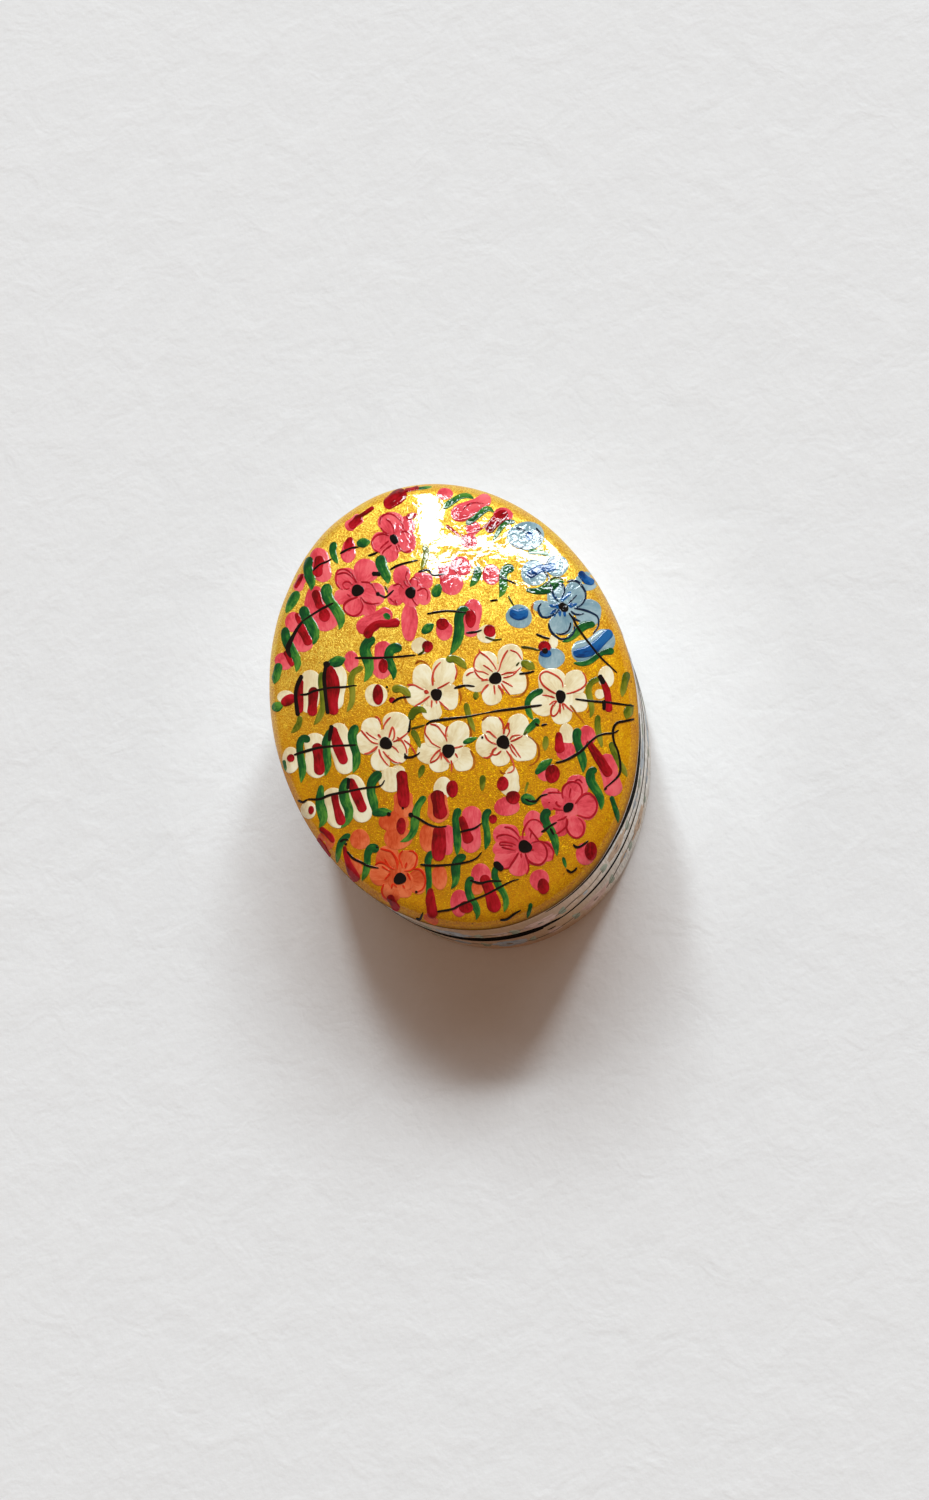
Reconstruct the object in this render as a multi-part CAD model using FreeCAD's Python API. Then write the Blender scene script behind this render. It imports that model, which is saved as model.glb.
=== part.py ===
"""Oval papier mache trinket box with a lift-off domed lid, in millimetres.

+Z is up, the long axis of the oval lies along Y, and the origin is the centre of the underside.
The base is a wall ring glued round a floor panel, with an inner collar that stands up past the
seam. The lid is a wall ring with a moulded dome on top, and it slips down over the collar.
Outside, a thin ground of gesso, leaf and lacquer covers the card: silver on the sides, gold on
the dome. The underside and the inside are finished in black.
"""

import os

import FreeCAD
import Part

Vector = FreeCAD.Vector

# Outer size of the closed box
box_length = 76.0
box_width = 60.0

# Heights of the two halves
base_height = 15.6
lid_wall_height = 14.0
dome_rise = 8.4

# Wall thicknesses
lid_wall_thickness = 2.2
dome_thickness = 2.2
floor_thickness = 2.0
collar_thickness = 1.2
lining_thickness = 0.4
ground_thickness = 0.5

# How the lid fits the collar
lid_clearance = 0.25
collar_rise = 5.0
collar_lead_radius = 0.4

# The black underside stops short of the rounded foot by this much
underside_margin = 1.2

# Roundings
base_foot_radius = 2.0
dome_shoulder_radius = 4.0
inner_shoulder_radius = 0.5
seam_edge_radius = 0.25
gilding_edge_radius = 0.2

# The painted grounds stop short of the seam, which shows as a fine dark groove
seam_setback = 0.15

# How far a cutting solid runs past what it cuts
cut_overrun = 5.0

# Levels, worked out from the heights
seam_level = base_height
wall_top_level = seam_level + lid_wall_height
collar_top_level = seam_level + collar_rise
floor_bottom_level = ground_thickness
floor_top_level = floor_bottom_level + floor_thickness

# How far each surface lies in from the outer surface
core_inset = ground_thickness
lid_bore_inset = core_inset + lid_wall_thickness
collar_outer_inset = lid_bore_inset + lid_clearance
collar_inner_inset = collar_outer_inset + collar_thickness
dome_inner_inset = core_inset + dome_thickness
lining_inner_inset = dome_inner_inset + lining_thickness
underside_inset = base_foot_radius + underside_margin


def oval_prism(inset, bottom, top):
    """An upright oval block whose side lies in from the box's outer surface by inset."""
    long_half = box_length / 2 - inset
    short_half = box_width / 2 - inset
    centre = Vector(0, 0, bottom)
    curve = Part.Ellipse(centre + Vector(0, long_half, 0), centre + Vector(short_half, 0, 0), centre)
    face = Part.Face(Part.Wire(curve.toShape()))
    return face.extrude(Vector(0, 0, top - bottom))


def oval_ring(outer_inset, inner_inset, bottom, top):
    """An upright oval tube between two insets."""
    hole = oval_prism(inner_inset, bottom - cut_overrun, top + cut_overrun)
    return oval_prism(outer_inset, bottom, top).cut(hole)


def edges_at(solid, level, inset):
    """The oval edges of a solid that lie at one level and one inset."""
    reach = box_length / 2 - inset
    near = seam_edge_radius / 4
    found = []
    for edge in solid.Edges:
        box = edge.BoundBox
        if abs(box.ZMax - level) < near and abs(box.ZMin - level) < near and abs(box.YMax - reach) < near:
            found.append(edge)
    return found


def rounded(solid, radius, level, inset):
    """The solid with its oval edge at that level and inset rounded."""
    return solid.makeFillet(radius, edges_at(solid, level, inset))


def dome_solid(inset):
    """The closed domed block above the wall top whose surface lies in from the outer dome by inset.

    Its profile is a crown arc that runs into a smaller shoulder arc, which meets the upright side
    of the oval. It is turned about Z, narrowed across X to the oval and cut off at the wall top.
    """
    radius = box_length / 2 - inset
    short_share = (box_width / 2 - inset) / radius
    outer_reach = box_length / 2 - dome_shoulder_radius
    outer_rise = dome_rise - dome_shoulder_radius
    outer_crown = (outer_reach**2 + dome_rise**2 - dome_shoulder_radius**2) / (2 * outer_rise)
    crown = outer_crown - inset
    crown_centre = dome_rise - outer_crown
    shoulder = max(dome_shoulder_radius - inset, inner_shoulder_radius)
    lean = (radius - shoulder) / (crown - shoulder)
    shoulder_centre = crown_centre + (crown - shoulder) * (1 - lean**2) ** 0.5

    def at(r, z):
        return Vector(0, r, wall_top_level + z)

    def on_crown(lean_here):
        return at(crown * lean_here, crown_centre + crown * (1 - lean_here**2) ** 0.5)

    def on_shoulder(lean_here):
        rise = shoulder * (1 - lean_here**2) ** 0.5
        return at(radius - shoulder + shoulder * lean_here, shoulder_centre + rise)

    top = on_crown(0)
    join = on_crown(lean)
    foot = at(radius, -cut_overrun)
    profile = Part.Wire(
        [
            Part.Arc(top, on_crown(lean / 2), join).toShape(),
            Part.Arc(join, on_shoulder((lean + 1) / 2), on_shoulder(1)).toShape(),
            Part.LineSegment(on_shoulder(1), foot).toShape(),
            Part.LineSegment(foot, at(0, -cut_overrun)).toShape(),
            Part.LineSegment(at(0, -cut_overrun), top).toShape(),
        ]
    )
    turned = Part.Face(profile).revolve(Vector(0, 0, 0), Vector(0, 0, 1), 360)
    narrowed = FreeCAD.Matrix()
    narrowed.scale(short_share, 1, 1)
    above_wall = oval_prism(-cut_overrun, wall_top_level, wall_top_level + dome_rise + cut_overrun)
    return turned.transformGeometry(narrowed).common(above_wall)


# Base: the part that stands on the table


def base_block(inset):
    """The base as one full block, inset all round and below, with its foot rounded."""
    block = oval_prism(inset, inset, seam_level)
    return rounded(block, base_foot_radius - inset, inset, inset)


def base_wall():
    """Card ring between the silver ground and the collar, with a rounded foot."""
    hole = oval_prism(collar_outer_inset, -cut_overrun, seam_level + cut_overrun)
    return base_block(core_inset).cut(hole)


def base_floor():
    """Card panel glued inside the foot of the wall."""
    return oval_prism(collar_outer_inset, floor_bottom_level, floor_top_level)


def base_collar():
    """Thin sleeve glued inside the wall, which stands on the floor and guides the lid."""
    sleeve = oval_ring(collar_outer_inset, collar_inner_inset, floor_top_level, collar_top_level)
    return rounded(sleeve, collar_lead_radius, collar_top_level, collar_outer_inset)


def base_floor_lining():
    """Black paper laid on the floor inside the collar."""
    return oval_prism(collar_inner_inset, floor_top_level, floor_top_level + lining_thickness)


def base_underside_coat():
    """Black lacquered disc that the box stands on, inside the rounded foot."""
    return oval_prism(underside_inset, 0, ground_thickness)


def base_side_ground():
    """Silver ground round the wall and under the foot, as far in as the underside coat."""
    top = seam_level - seam_setback
    outside = base_block(0).common(oval_prism(-cut_overrun, -cut_overrun, top))
    skin = outside.cut(base_block(core_inset))
    skin = skin.cut(oval_prism(underside_inset, -cut_overrun, ground_thickness + cut_overrun))
    return rounded(skin, seam_edge_radius, top, 0)


# Lid: slips over the collar and rests on the base wall


def lid_wall():
    """Card ring that carries the dome and slides down over the collar."""
    return oval_ring(core_inset, lid_bore_inset, seam_level, wall_top_level)


def lid_dome():
    """Moulded papier mache dome seated on the lid wall."""
    return dome_solid(core_inset).cut(dome_solid(dome_inner_inset))


def lid_ceiling_lining():
    """Black paper lining under the dome."""
    return dome_solid(dome_inner_inset).cut(dome_solid(lining_inner_inset))


def lid_side_ground():
    """Silver ground round the lid wall, from just above the seam to the gilding."""
    bottom = seam_level + seam_setback
    skin = oval_ring(0, core_inset, bottom, wall_top_level)
    skin = rounded(skin, seam_edge_radius, bottom, 0)
    return rounded(skin, gilding_edge_radius, wall_top_level, 0)


def lid_gilded_ground():
    """Gold leaf ground over the dome and its shoulder."""
    return dome_solid(0).cut(dome_solid(core_inset))


PIECES = [
    base_wall,
    base_floor,
    base_collar,
    base_floor_lining,
    base_underside_coat,
    base_side_ground,
    lid_wall,
    lid_dome,
    lid_ceiling_lining,
    lid_side_ground,
    lid_gilded_ground,
]


def main():
    os.makedirs("parts", exist_ok=True)
    for make in PIECES:
        shape = make()
        solids = shape.Solids
        assert len(solids) == 1 and solids[0].isValid(), make.__name__
        solids[0].exportStep(os.path.join("parts", make.__name__ + ".step"))
        print(make.__name__, "volume", round(solids[0].Volume), "mm3")


main()
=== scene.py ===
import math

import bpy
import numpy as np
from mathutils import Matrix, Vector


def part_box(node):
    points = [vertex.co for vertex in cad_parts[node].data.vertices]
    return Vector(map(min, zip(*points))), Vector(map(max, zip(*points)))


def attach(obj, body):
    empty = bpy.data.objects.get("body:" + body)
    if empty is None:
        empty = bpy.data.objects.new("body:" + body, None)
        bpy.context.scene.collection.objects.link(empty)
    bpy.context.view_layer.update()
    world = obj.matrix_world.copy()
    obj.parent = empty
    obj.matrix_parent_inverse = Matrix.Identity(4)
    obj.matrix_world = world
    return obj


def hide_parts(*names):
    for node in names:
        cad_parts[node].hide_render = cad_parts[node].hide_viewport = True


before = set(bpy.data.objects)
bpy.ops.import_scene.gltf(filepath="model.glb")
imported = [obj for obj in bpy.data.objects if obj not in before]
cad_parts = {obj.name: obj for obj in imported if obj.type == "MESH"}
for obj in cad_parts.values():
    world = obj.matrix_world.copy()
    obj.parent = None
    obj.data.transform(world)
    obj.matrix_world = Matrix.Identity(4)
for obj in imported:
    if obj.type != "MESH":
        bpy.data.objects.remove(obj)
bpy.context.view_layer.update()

# The looks of an oval papier mache trinket box: a gilded dome painted with flowers, buds, leaves and
# fine lines under a clear lacquer, silver sides with a muted floral border, and a black inside and
# underside. Lengths are in metres. The strokes on the dome are placed by photo pixels, but each
# point of them is laid on the dome itself, and those on the sides are placed in millimetres.

mm = 0.001

# Sizes of the box, read from its solids
gilding_low, gilding_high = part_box("lid_gilded_ground")
lid_side_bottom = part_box("lid_side_ground")[0].z
base_side_bottom, base_side_top = (corner.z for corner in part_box("base_side_ground"))
short_half = gilding_high.x
long_half = gilding_high.y
wall_top = gilding_low.z
dome_rise = gilding_high.z - wall_top

# Sizes that the solids share with this script
shoulder_radius = 4.0 * mm
foot_radius = 2.0 * mm
ground_thickness = 0.5 * mm
underside_inset = 3.2 * mm
edge_radius = 0.25 * mm

# The dome's profile is a crown arc that runs into a shoulder arc, as in the solids
shoulder_reach = long_half - shoulder_radius
crown_radius = (shoulder_reach**2 + dome_rise**2 - shoulder_radius**2) / (2 * (dome_rise - shoulder_radius))
crown_centre = wall_top + dome_rise - crown_radius
join_reach = crown_radius * shoulder_reach / (crown_radius - shoulder_radius)

# The photo's frame in pixels, and the camera that was fitted to the box's curves in it
frame_width_px = 929
frame_height_px = 1500
focal_px = 2283
fitted_centre_px = (460.6, 715.2)
camera_azimuth = math.radians(19.6)
camera_elevation = math.radians(75.4)
camera_roll = math.radians(-15.9)
camera_distance = 384 * mm
camera_target = np.array([0, 0, 20 * mm])
sensor_width = 36

# Light: a window seen from the box as a few bright panes, and a warm dim room
window_distance = 12.0
glow_distance = 14.4
window_panes_deg = [(-1, 7, 33, 54.5), (7, 28, 50, 54.2), (28, 44, 47, 52), (37, 45, 33, 47)]
window_share = 0.72
wall_shade = (227, 227, 227)
window_glow_deg = [(-20, 60, 24, 64)]
window_light = (0.79, 0.88, 0.926)
room_light = (0.240, 0.152, 0.106)

# Unevenness of the hand-laid ground
wave_count = 14
wave_length_range = (7 * mm, 20 * mm)
wave_height = 0.010 * mm

# The square of paper that the box stands on
floor_width = 8.0

# How finely the meshes are divided
ring_count = 360
crown_rings = 63
shoulder_rings = 25
side_rows = 20
inner_rows = 6
arc_rows = 5
inner_ring_step = 4
crease_angle = math.radians(50)


def unit(vectors):
    """The vectors at length one."""
    return vectors / np.linalg.norm(vectors, axis=-1, keepdims=True)


# Camera


def camera_axes():
    """Right, up and forward of the camera, turned a little so that the frame needs no shift."""
    level = math.cos(camera_elevation)
    back = np.array([
        math.sin(camera_azimuth) * level,
        -math.cos(camera_azimuth) * level,
        math.sin(camera_elevation),
    ])
    plain_right = unit(np.cross(-back, (0, 1, 0)))
    plain_up = np.cross(plain_right, -back)
    right = math.cos(camera_roll) * plain_right + math.sin(camera_roll) * plain_up
    up = math.cos(camera_roll) * plain_up - math.sin(camera_roll) * plain_right
    aside = (frame_width_px / 2 - fitted_centre_px[0]) / focal_px
    below = (frame_height_px / 2 - fitted_centre_px[1]) / focal_px
    forward = unit(-back + right * aside - up * below)
    right = unit(np.cross(forward, up))
    return camera_target + back * camera_distance, right, np.cross(right, forward), forward


eye, camera_right, camera_up, camera_forward = camera_axes()


def make_camera():
    """The camera at the photo's angle and distance."""
    data = bpy.data.cameras.new("camera")
    data.sensor_width = sensor_width
    data.lens = sensor_width * focal_px / frame_height_px
    data.clip_start = 10 * mm
    camera = bpy.data.objects.new("camera", data)
    bpy.context.scene.collection.objects.link(camera)
    turn = np.eye(4)
    turn[:3, :3] = np.array([camera_right, camera_up, -camera_forward]).T
    turn[:3, 3] = eye
    camera.matrix_world = Matrix(turn.tolist())
    bpy.context.scene.camera = camera


# Surfaces that are painted on


rng = np.random.default_rng(11)
wave_directions = unit(rng.normal(size=(wave_count, 3)))
wave_numbers = 2 * math.pi / rng.uniform(*wave_length_range, wave_count)
wave_phases = rng.uniform(0, 2 * math.pi, wave_count)


def unevenness(points):
    """How far the hand-laid ground stands out of or into its true surface at these points."""
    phases = points @ (wave_directions * wave_numbers[:, None]).T + wave_phases
    return wave_height * np.sin(phases).sum(axis=1)


def dome_lean(reach):
    """Sine of the dome's slope at a reach from its centre along the long axis."""
    on_shoulder = (reach - shoulder_reach) / shoulder_radius
    return np.clip(np.where(reach < join_reach, reach / crown_radius, on_shoulder), 0, 1)


def dome_height(reach):
    """Height of the dome's surface at a reach along the long axis."""
    level = np.sqrt(1 - dome_lean(reach) ** 2)
    on_crown = crown_centre + crown_radius * level
    on_shoulder = wall_top + shoulder_radius * level
    return np.where(reach < join_reach, on_crown, on_shoulder)


def oval(turns, inset=0):
    """Plan positions round the box's side, or round an oval that lies in from it."""
    return np.stack([(short_half - inset) * np.cos(turns), (long_half - inset) * np.sin(turns)], axis=1)


def oval_normals(turns, inset=0):
    """Level normals of that oval."""
    aside = np.cos(turns) / (short_half - inset)
    along = np.sin(turns) / (long_half - inset)
    return unit(np.stack([aside, along, 0 * turns], axis=1))


def dome_over(flat):
    """Points and normals of the dome over plan positions. Positions outside it go to its rim."""
    aside = flat[:, 0] / short_half
    along = flat[:, 1] / long_half
    share = np.maximum(np.hypot(aside, along), 1e-9)
    reach = np.minimum(share, 1) * long_half
    inward = reach / (share * long_half)
    lean = dome_lean(reach)
    points = np.stack([flat[:, 0] * inward, flat[:, 1] * inward, dome_height(reach)], axis=1)
    lean_aside = lean * aside / share * long_half / short_half
    lean_along = lean * along / share
    return points, unit(np.stack([lean_aside, lean_along, np.sqrt(1 - lean**2)], axis=1))


# How often the search for the dome along a ray halves its range
halvings = 36


def dome_at(pixels):
    """Points and normals of the dome under photo pixels."""
    rays = (
        camera_forward
        + np.outer((pixels[:, 0] - frame_width_px / 2) / focal_px, camera_right)
        - np.outer((pixels[:, 1] - frame_height_px / 2) / focal_px, camera_up)
    )
    near = (wall_top + dome_rise + mm - eye[2]) / rays[:, 2]
    far = (wall_top - eye[2]) / rays[:, 2]
    for _ in range(halvings):
        middle = (near + far) / 2
        points = eye + rays * middle[:, None]
        reach = long_half * np.hypot(points[:, 0] / short_half, points[:, 1] / long_half)
        inside = (reach < long_half) & (points[:, 2] < dome_height(reach))
        far = np.where(inside, middle, far)
        near = np.where(inside, near, middle)
    return dome_over((eye + rays * far[:, None])[:, :2])


side_turns = np.linspace(0, 2 * math.pi, 4 * ring_count + 1)
side_steps = np.hypot(*np.diff(oval(side_turns), axis=0).T)
side_arcs = np.concatenate([[0], np.cumsum(side_steps)]) / mm
side_length = side_arcs[-1]


def arc_at(turn_deg):
    """Distance round the side in millimetres, from +X towards +Y, at a turn of the oval in degrees."""
    laps, rest = np.divmod(turn_deg, 360)
    return laps * side_length + np.interp(np.radians(rest), side_turns, side_arcs)


def side_at(places):
    """Points and normals of the upright side at (distance round it, height) in millimetres."""
    turn = np.interp(places[:, 0] % side_length, side_arcs, side_turns)
    return np.column_stack([oval(turn), places[:, 1] * mm]), oval_normals(turn)


# Meshes


def add_mesh(name, points, faces, material, body, creased=False):
    """A mesh object that rides on a body, with its sharp edges creased or all of it smooth."""
    mesh = bpy.data.meshes.new(name)
    mesh.from_pydata(points.tolist(), [], faces)
    mesh.polygons.foreach_set("use_smooth", [True] * len(mesh.polygons))
    if creased:
        mesh.set_sharp_from_angle(angle=crease_angle)
    mesh.materials.append(material)
    piece = bpy.data.objects.new(name, mesh)
    bpy.context.scene.collection.objects.link(piece)
    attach(piece, body)
    return piece


def quads_between(rings, count, closed):
    """Faces that join rings of count points each, in order, and the last to the first if closed."""
    faces = []
    for ring in range(rings if closed else rings - 1):
        here = ring * count
        there = (ring + 1) % rings * count
        for step in range(count):
            after = (step + 1) % count
            faces.append((here + step, here + after, there + after, there + step))
    return faces


ring_turns = np.linspace(0, 2 * math.pi, ring_count, endpoint=False)


def make_gilding(material):
    """The gilded ground over the dome: an uneven outer face, and an inner face one thickness in."""
    crown = np.linspace(0, join_reach, crown_rings + 1)[1:]
    leans = np.linspace(math.asin(join_reach / crown_radius), math.pi / 2, shoulder_rings + 1)[1:]
    reaches = np.concatenate([crown, shoulder_reach + shoulder_radius * np.sin(leans)])
    outer = []
    inner = []
    for share in reaches / long_half:
        points, normals = dome_over(share * oval(ring_turns))
        uneven = unevenness(points)[:, None]
        outer.append(points + normals * uneven)
        inner.append(points + normals * (uneven - ground_thickness))
    rings = outer + inner[::-inner_ring_step]
    poles, up = dome_over(np.zeros((1, 2)))
    lift = unevenness(poles)[:, None]
    points = np.concatenate(rings + [poles + up * lift, poles + up * (lift - ground_thickness)])
    faces = quads_between(len(rings), ring_count, False)
    top = len(points) - 2
    last = (len(rings) - 1) * ring_count
    for step in range(ring_count):
        after = (step + 1) % ring_count
        faces.append((top, after, step))
        faces.append((top + 1, last + step, last + after))
    faces = [face[::-1] for face in faces]
    piece = add_mesh("gilding", points, faces, material, "lid", creased=True)
    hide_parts("lid_gilded_ground")


def arc_points(centre_inset, centre_height, radius, start_deg, end_deg, count=arc_rows):
    """(inset, height) points along an arc. Zero degrees points outwards and 90 up."""
    turns = np.radians(np.linspace(start_deg, end_deg, count))
    return [(centre_inset - radius * math.cos(t), centre_height + radius * math.sin(t)) for t in turns]


def upright(inset, low, high, count):
    """(inset, height) points up or down a straight side."""
    return [(inset, height) for height in np.linspace(low, high, count)]


def make_side(name, node, body, material, outline):
    """A band of silver ground round the box, from its closed outline of (inset, height) points."""
    rings = []
    for inset, height in outline:
        ring = np.column_stack([oval(ring_turns, inset), np.full(ring_count, height)])
        rings.append(ring + oval_normals(ring_turns, inset) * unevenness(ring)[:, None])
    faces = quads_between(len(rings), ring_count, True)
    piece = add_mesh(name, np.concatenate(rings), faces, material, body, creased=True)
    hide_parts(node)


def make_sides(material):
    """The silver bands round the lid and the base."""
    low = lid_side_bottom
    make_side("lid_silver", "lid_side_ground", "lid", material, (
        arc_points(edge_radius, low + edge_radius, edge_radius, -90, 0)
        + upright(0, low + edge_radius, wall_top - edge_radius, side_rows)[1:]
        + arc_points(edge_radius, wall_top - edge_radius, edge_radius, 0, 90)[1:]
        + upright(ground_thickness, wall_top, low, inner_rows)
    ))
    low = base_side_bottom
    high = base_side_top
    make_side("base_silver", "base_side_ground", "base", material, (
        [(underside_inset, low)]
        + arc_points(foot_radius, low + foot_radius, foot_radius, -90, 0, 2 * arc_rows - 1)
        + upright(0, low + foot_radius, high - edge_radius, side_rows)[1:]
        + arc_points(edge_radius, high - edge_radius, edge_radius, 0, 90)[1:]
        + upright(ground_thickness, high, low + foot_radius, inner_rows)
        + arc_points(foot_radius, low + foot_radius, foot_radius - ground_thickness, 0, -90)[1:]
        + [(underside_inset, low + ground_thickness)]
    ))


# Brushwork


class Canvas:
    """A surface to paint on. at() gives the points and normals there of flat positions in its unit,
    and step is the distance between the rows of a stroke in that unit."""

    def __init__(self, at, unit_length, step):
        self.at = at
        self.unit_length = unit_length
        self.step = step


photo_pixel = 0.162 * mm
dome_canvas = Canvas(dome_at, photo_pixel, 1.6)
side_canvas = Canvas(side_at, mm, 0.3)

# Strokes start a little inside the ground, and each lies a hair over the one before
sink = 0.05 * mm
levels_in_use = 12
level_step = 0.0012 * mm
relief_share = 0.45

# A stroke's number and the share of it reached are one value, so a whole share stays below one
whole_share = 0.98

# The run of a stroke: its rows, how its width sways, and how hard a fine line is pressed
tip_rows = 6
span_steps = 14
across = np.linspace(-1, 1, 7)
longest_tip_share = 0.45
thinnest_share = 0.003
hand_sway = 0.07
line_pressure = np.array([0.72, 0.98, 0.84, 0.8, 0.5])

# The shape of a patch: its rings, its corners, and how a petal bulges and narrows
blob_rings = (1.0, 0.93, 0.78, 0.5)
round_corners = 28
petal_corners = 36
petal_fullness = 2.35
petal_waist = 0.42


def smooth_path(points):
    """A smooth curve through the points, as many small steps."""
    points = np.array(points, float)
    if len(points) == 2:
        return np.linspace(points[0], points[1], span_steps)
    padded = np.concatenate([[2 * points[0] - points[1]], points, [2 * points[-1] - points[-2]]])
    t = np.linspace(0, 1, span_steps, endpoint=False)[:, None]
    spans = []
    for a, b, c, d in zip(padded, padded[1:], padded[2:], padded[3:]):
        bend = 2 * a - 5 * b + 4 * c - d
        twist = 3 * b - a - 3 * c + d
        spans.append((2 * b + (c - a) * t + bend * t**2 + twist * t**3) / 2)
    return np.concatenate(spans + [points[-1:]])


def circle(count):
    """Points round a circle of radius one, and the turns that they lie at."""
    turns = np.linspace(0, 2 * math.pi, count, endpoint=False)
    return np.stack([np.cos(turns), np.sin(turns)], axis=1), turns


class Paint:
    """All strokes of one colour on one canvas, as one mesh of thin raised closed strokes."""

    def __init__(self, name, canvas, body, slot, material, level, rise):
        self.name = name
        self.canvas = canvas
        self.body = body
        self.slot = slot
        self.material = material
        self.level = level * mm
        self.rise = rise * mm
        self.flat = []
        self.lift = []
        self.brush = []
        self.faces = []
        self.size = 0
        self.strokes = 0

    def add(self, flat, lift, brush, reached, faces):
        """Adds one stroke's points, their heights over the surface, their places in the stroke in the
        canvas's unit, the share of the stroke reached at each, and its faces."""
        self.flat.append(flat)
        self.lift.append(lift)
        number_and_share = self.strokes + whole_share * np.clip(reached, 0, 1)
        self.brush.append(np.column_stack([brush * self.canvas.unit_length / mm, number_and_share]))
        self.faces += [tuple(self.size + corner for corner in face) for face in faces]
        self.size += len(flat)
        self.strokes += 1

    def own_level(self):
        """Each stroke lies a hair over the one before, so that crossing strokes don't flicker."""
        return self.level + self.strokes % levels_in_use * level_step

    def stroke(self, radius, *points, tips=(1, 1), taper=0.5):
        """A brush stroke through the points. Its radius may be a list along it, and each end is
        rounded over its radius times the tip value. A taper over a half draws the far end to a point."""
        path = smooth_path(points)
        steps = np.hypot(*np.diff(path, axis=0).T)
        reached = np.concatenate([[0], np.cumsum(steps)])
        total = reached[-1]
        radii = np.atleast_1d(np.array(radius, float))
        head = min(tips[0] * radii[0], longest_tip_share * total)
        tail = min(tips[1] * radii[-1], longest_tip_share * total)
        ease = 1 - np.cos(np.linspace(0, math.pi / 2, tip_rows))
        middle_rows = max(2, int((total - head - tail) / self.canvas.step))
        middle = np.linspace(head, total - tail, middle_rows + 2)[1:-1]
        along = np.concatenate([head * ease, middle, total - tail * ease[::-1]])
        width = np.interp(along / total, np.linspace(0, 1, len(radii)), radii)
        width *= np.sqrt(np.clip(1 - np.clip(1 - along / head, 0, 1) ** 2, thinnest_share, 1))
        width *= np.clip(1 - np.clip(1 - (total - along) / tail, 0, 1) ** 2, thinnest_share, 1) ** taper
        width *= 1 + hand_sway * np.sin(9 * along / total + self.strokes * 2.3)

        def on_path(distances):
            return np.stack([np.interp(distances, reached, part) for part in path.T], axis=1)

        centre = on_path(along)
        tangent = unit(on_path(along + self.canvas.step) - on_path(along - self.canvas.step) + 1e-9)
        sideways = np.stack([tangent[:, 1], -tangent[:, 0]], axis=1)
        offsets = np.concatenate([across, [1, -1]])
        flat = centre[:, None] + sideways[:, None] * (width[:, None] * offsets)[:, :, None]
        fullness = (width / width.max())[:, None]
        top = self.own_level() + self.rise * fullness * (1 - across**2)
        lift = np.concatenate([top, np.full((len(along), 2), -sink)], axis=1)
        count = len(offsets)
        brush = np.stack([width[:, None] * offsets, np.repeat(along[:, None], count, axis=1)], axis=2)
        faces = quads_between(len(along), count, False)
        faces.append(tuple(range(count))[::-1])
        faces.append(tuple((len(along) - 1) * count + k for k in range(count)))
        share = np.repeat(along / total, count)
        self.add(flat.reshape(-1, 2), lift.ravel(), brush.reshape(-1, 2), share, faces)

    def line(self, radius, *points):
        """A fine line, pressed a little harder near its start and drawn out at its end."""
        if isinstance(radius, tuple):
            self.stroke(radius, *points, tips=(2.5, 3.5))
        else:
            self.stroke(radius * line_pressure, *points, tips=(2.5, 4.5))

    def blob(self, outline, heart=None):
        """A closed patch of paint with this outline, brushed outwards from the heart if it has one."""
        count = len(outline)
        centre = outline.mean(axis=0)
        rings = [centre + (outline - centre) * share for share in blob_rings]
        flat = np.concatenate([outline] + rings + [[centre], [centre]])
        level = self.own_level()
        heights = [np.full(count, -sink)]
        for share in blob_rings:
            heights.append(np.full(count, level + self.rise * (1 - share**2)))
        heights.append([level + self.rise, -sink])
        faces = quads_between(len(rings) + 1, count, False)
        last = len(rings) * count
        top = last + count
        for step in range(count):
            after = (step + 1) % count
            faces.append((last + step, last + after, top))
            faces.append((after, step, top + 1))
        brush = flat - centre
        reached = 0.5 + brush[:, 1] / np.ptp(flat[:, 1])
        if heart is not None:
            outwards = unit(centre - heart)
            ahead = (flat - heart) @ outwards
            aside = (flat - heart) @ np.array([-outwards[1], outwards[0]])
            reach = np.hypot(ahead, aside)
            brush = np.stack([np.arctan2(aside, ahead) * reach.mean(), reach], axis=1)
            reached = reach / reach.max()
        self.add(flat, np.concatenate(heights), brush, reached, faces)

    def round(self, radius, centre, wobble=0.05):
        """A rounded dab. The radius may be a pair, across and down."""
        outline, turns = circle(round_corners)
        waves = np.sin(2 * turns + self.strokes * 1.7) + np.sin(3 * turns + self.strokes * 2.9)
        self.blob(np.array(centre) + outline * radius * (1 + wobble * waves / 2)[:, None])

    def petal(self, left, right, top, bottom, heart):
        """A petal that fills this box and narrows towards the flower's heart."""
        centre = np.array([left + right, top + bottom]) / 2
        half = np.array([right - left, bottom - top]) / 2
        outline, turns = circle(petal_corners)
        bulge = (np.abs(outline) ** petal_fullness).sum(axis=1) ** (-1 / petal_fullness)
        waves = 0.025 * np.sin(3 * turns + self.strokes * 2.1) + 0.015 * np.sin(5 * turns + self.strokes)
        outline *= (bulge * (1 + waves))[:, None] * half
        inward = unit(np.array(heart) - centre)
        sideways = np.array([-inward[1], inward[0]])
        near = np.clip(outline @ inward / half.mean(), 0, 1.3)
        outline -= np.outer(outline @ sideways * petal_waist * near**1.5, sideways)
        self.blob(centre + outline, np.array(heart))

    def leaf(self, radius, *points):
        """A leaf in one stroke with a drawn-out tip. Its middle swings less than its edges."""
        path = np.array(points, float)
        path[1:-1] = (2 * path[1:-1] + path[:-2] + path[2:]) / 4
        self.stroke(radius, *path, tips=(1.3, 4.0), taper=0.85)

    def dab(self, radius, *points):
        """A rounded dab at one point, or a stroke through several."""
        if len(points) == 1:
            self.round(radius, points[0])
        else:
            self.stroke(radius, *points)

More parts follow.
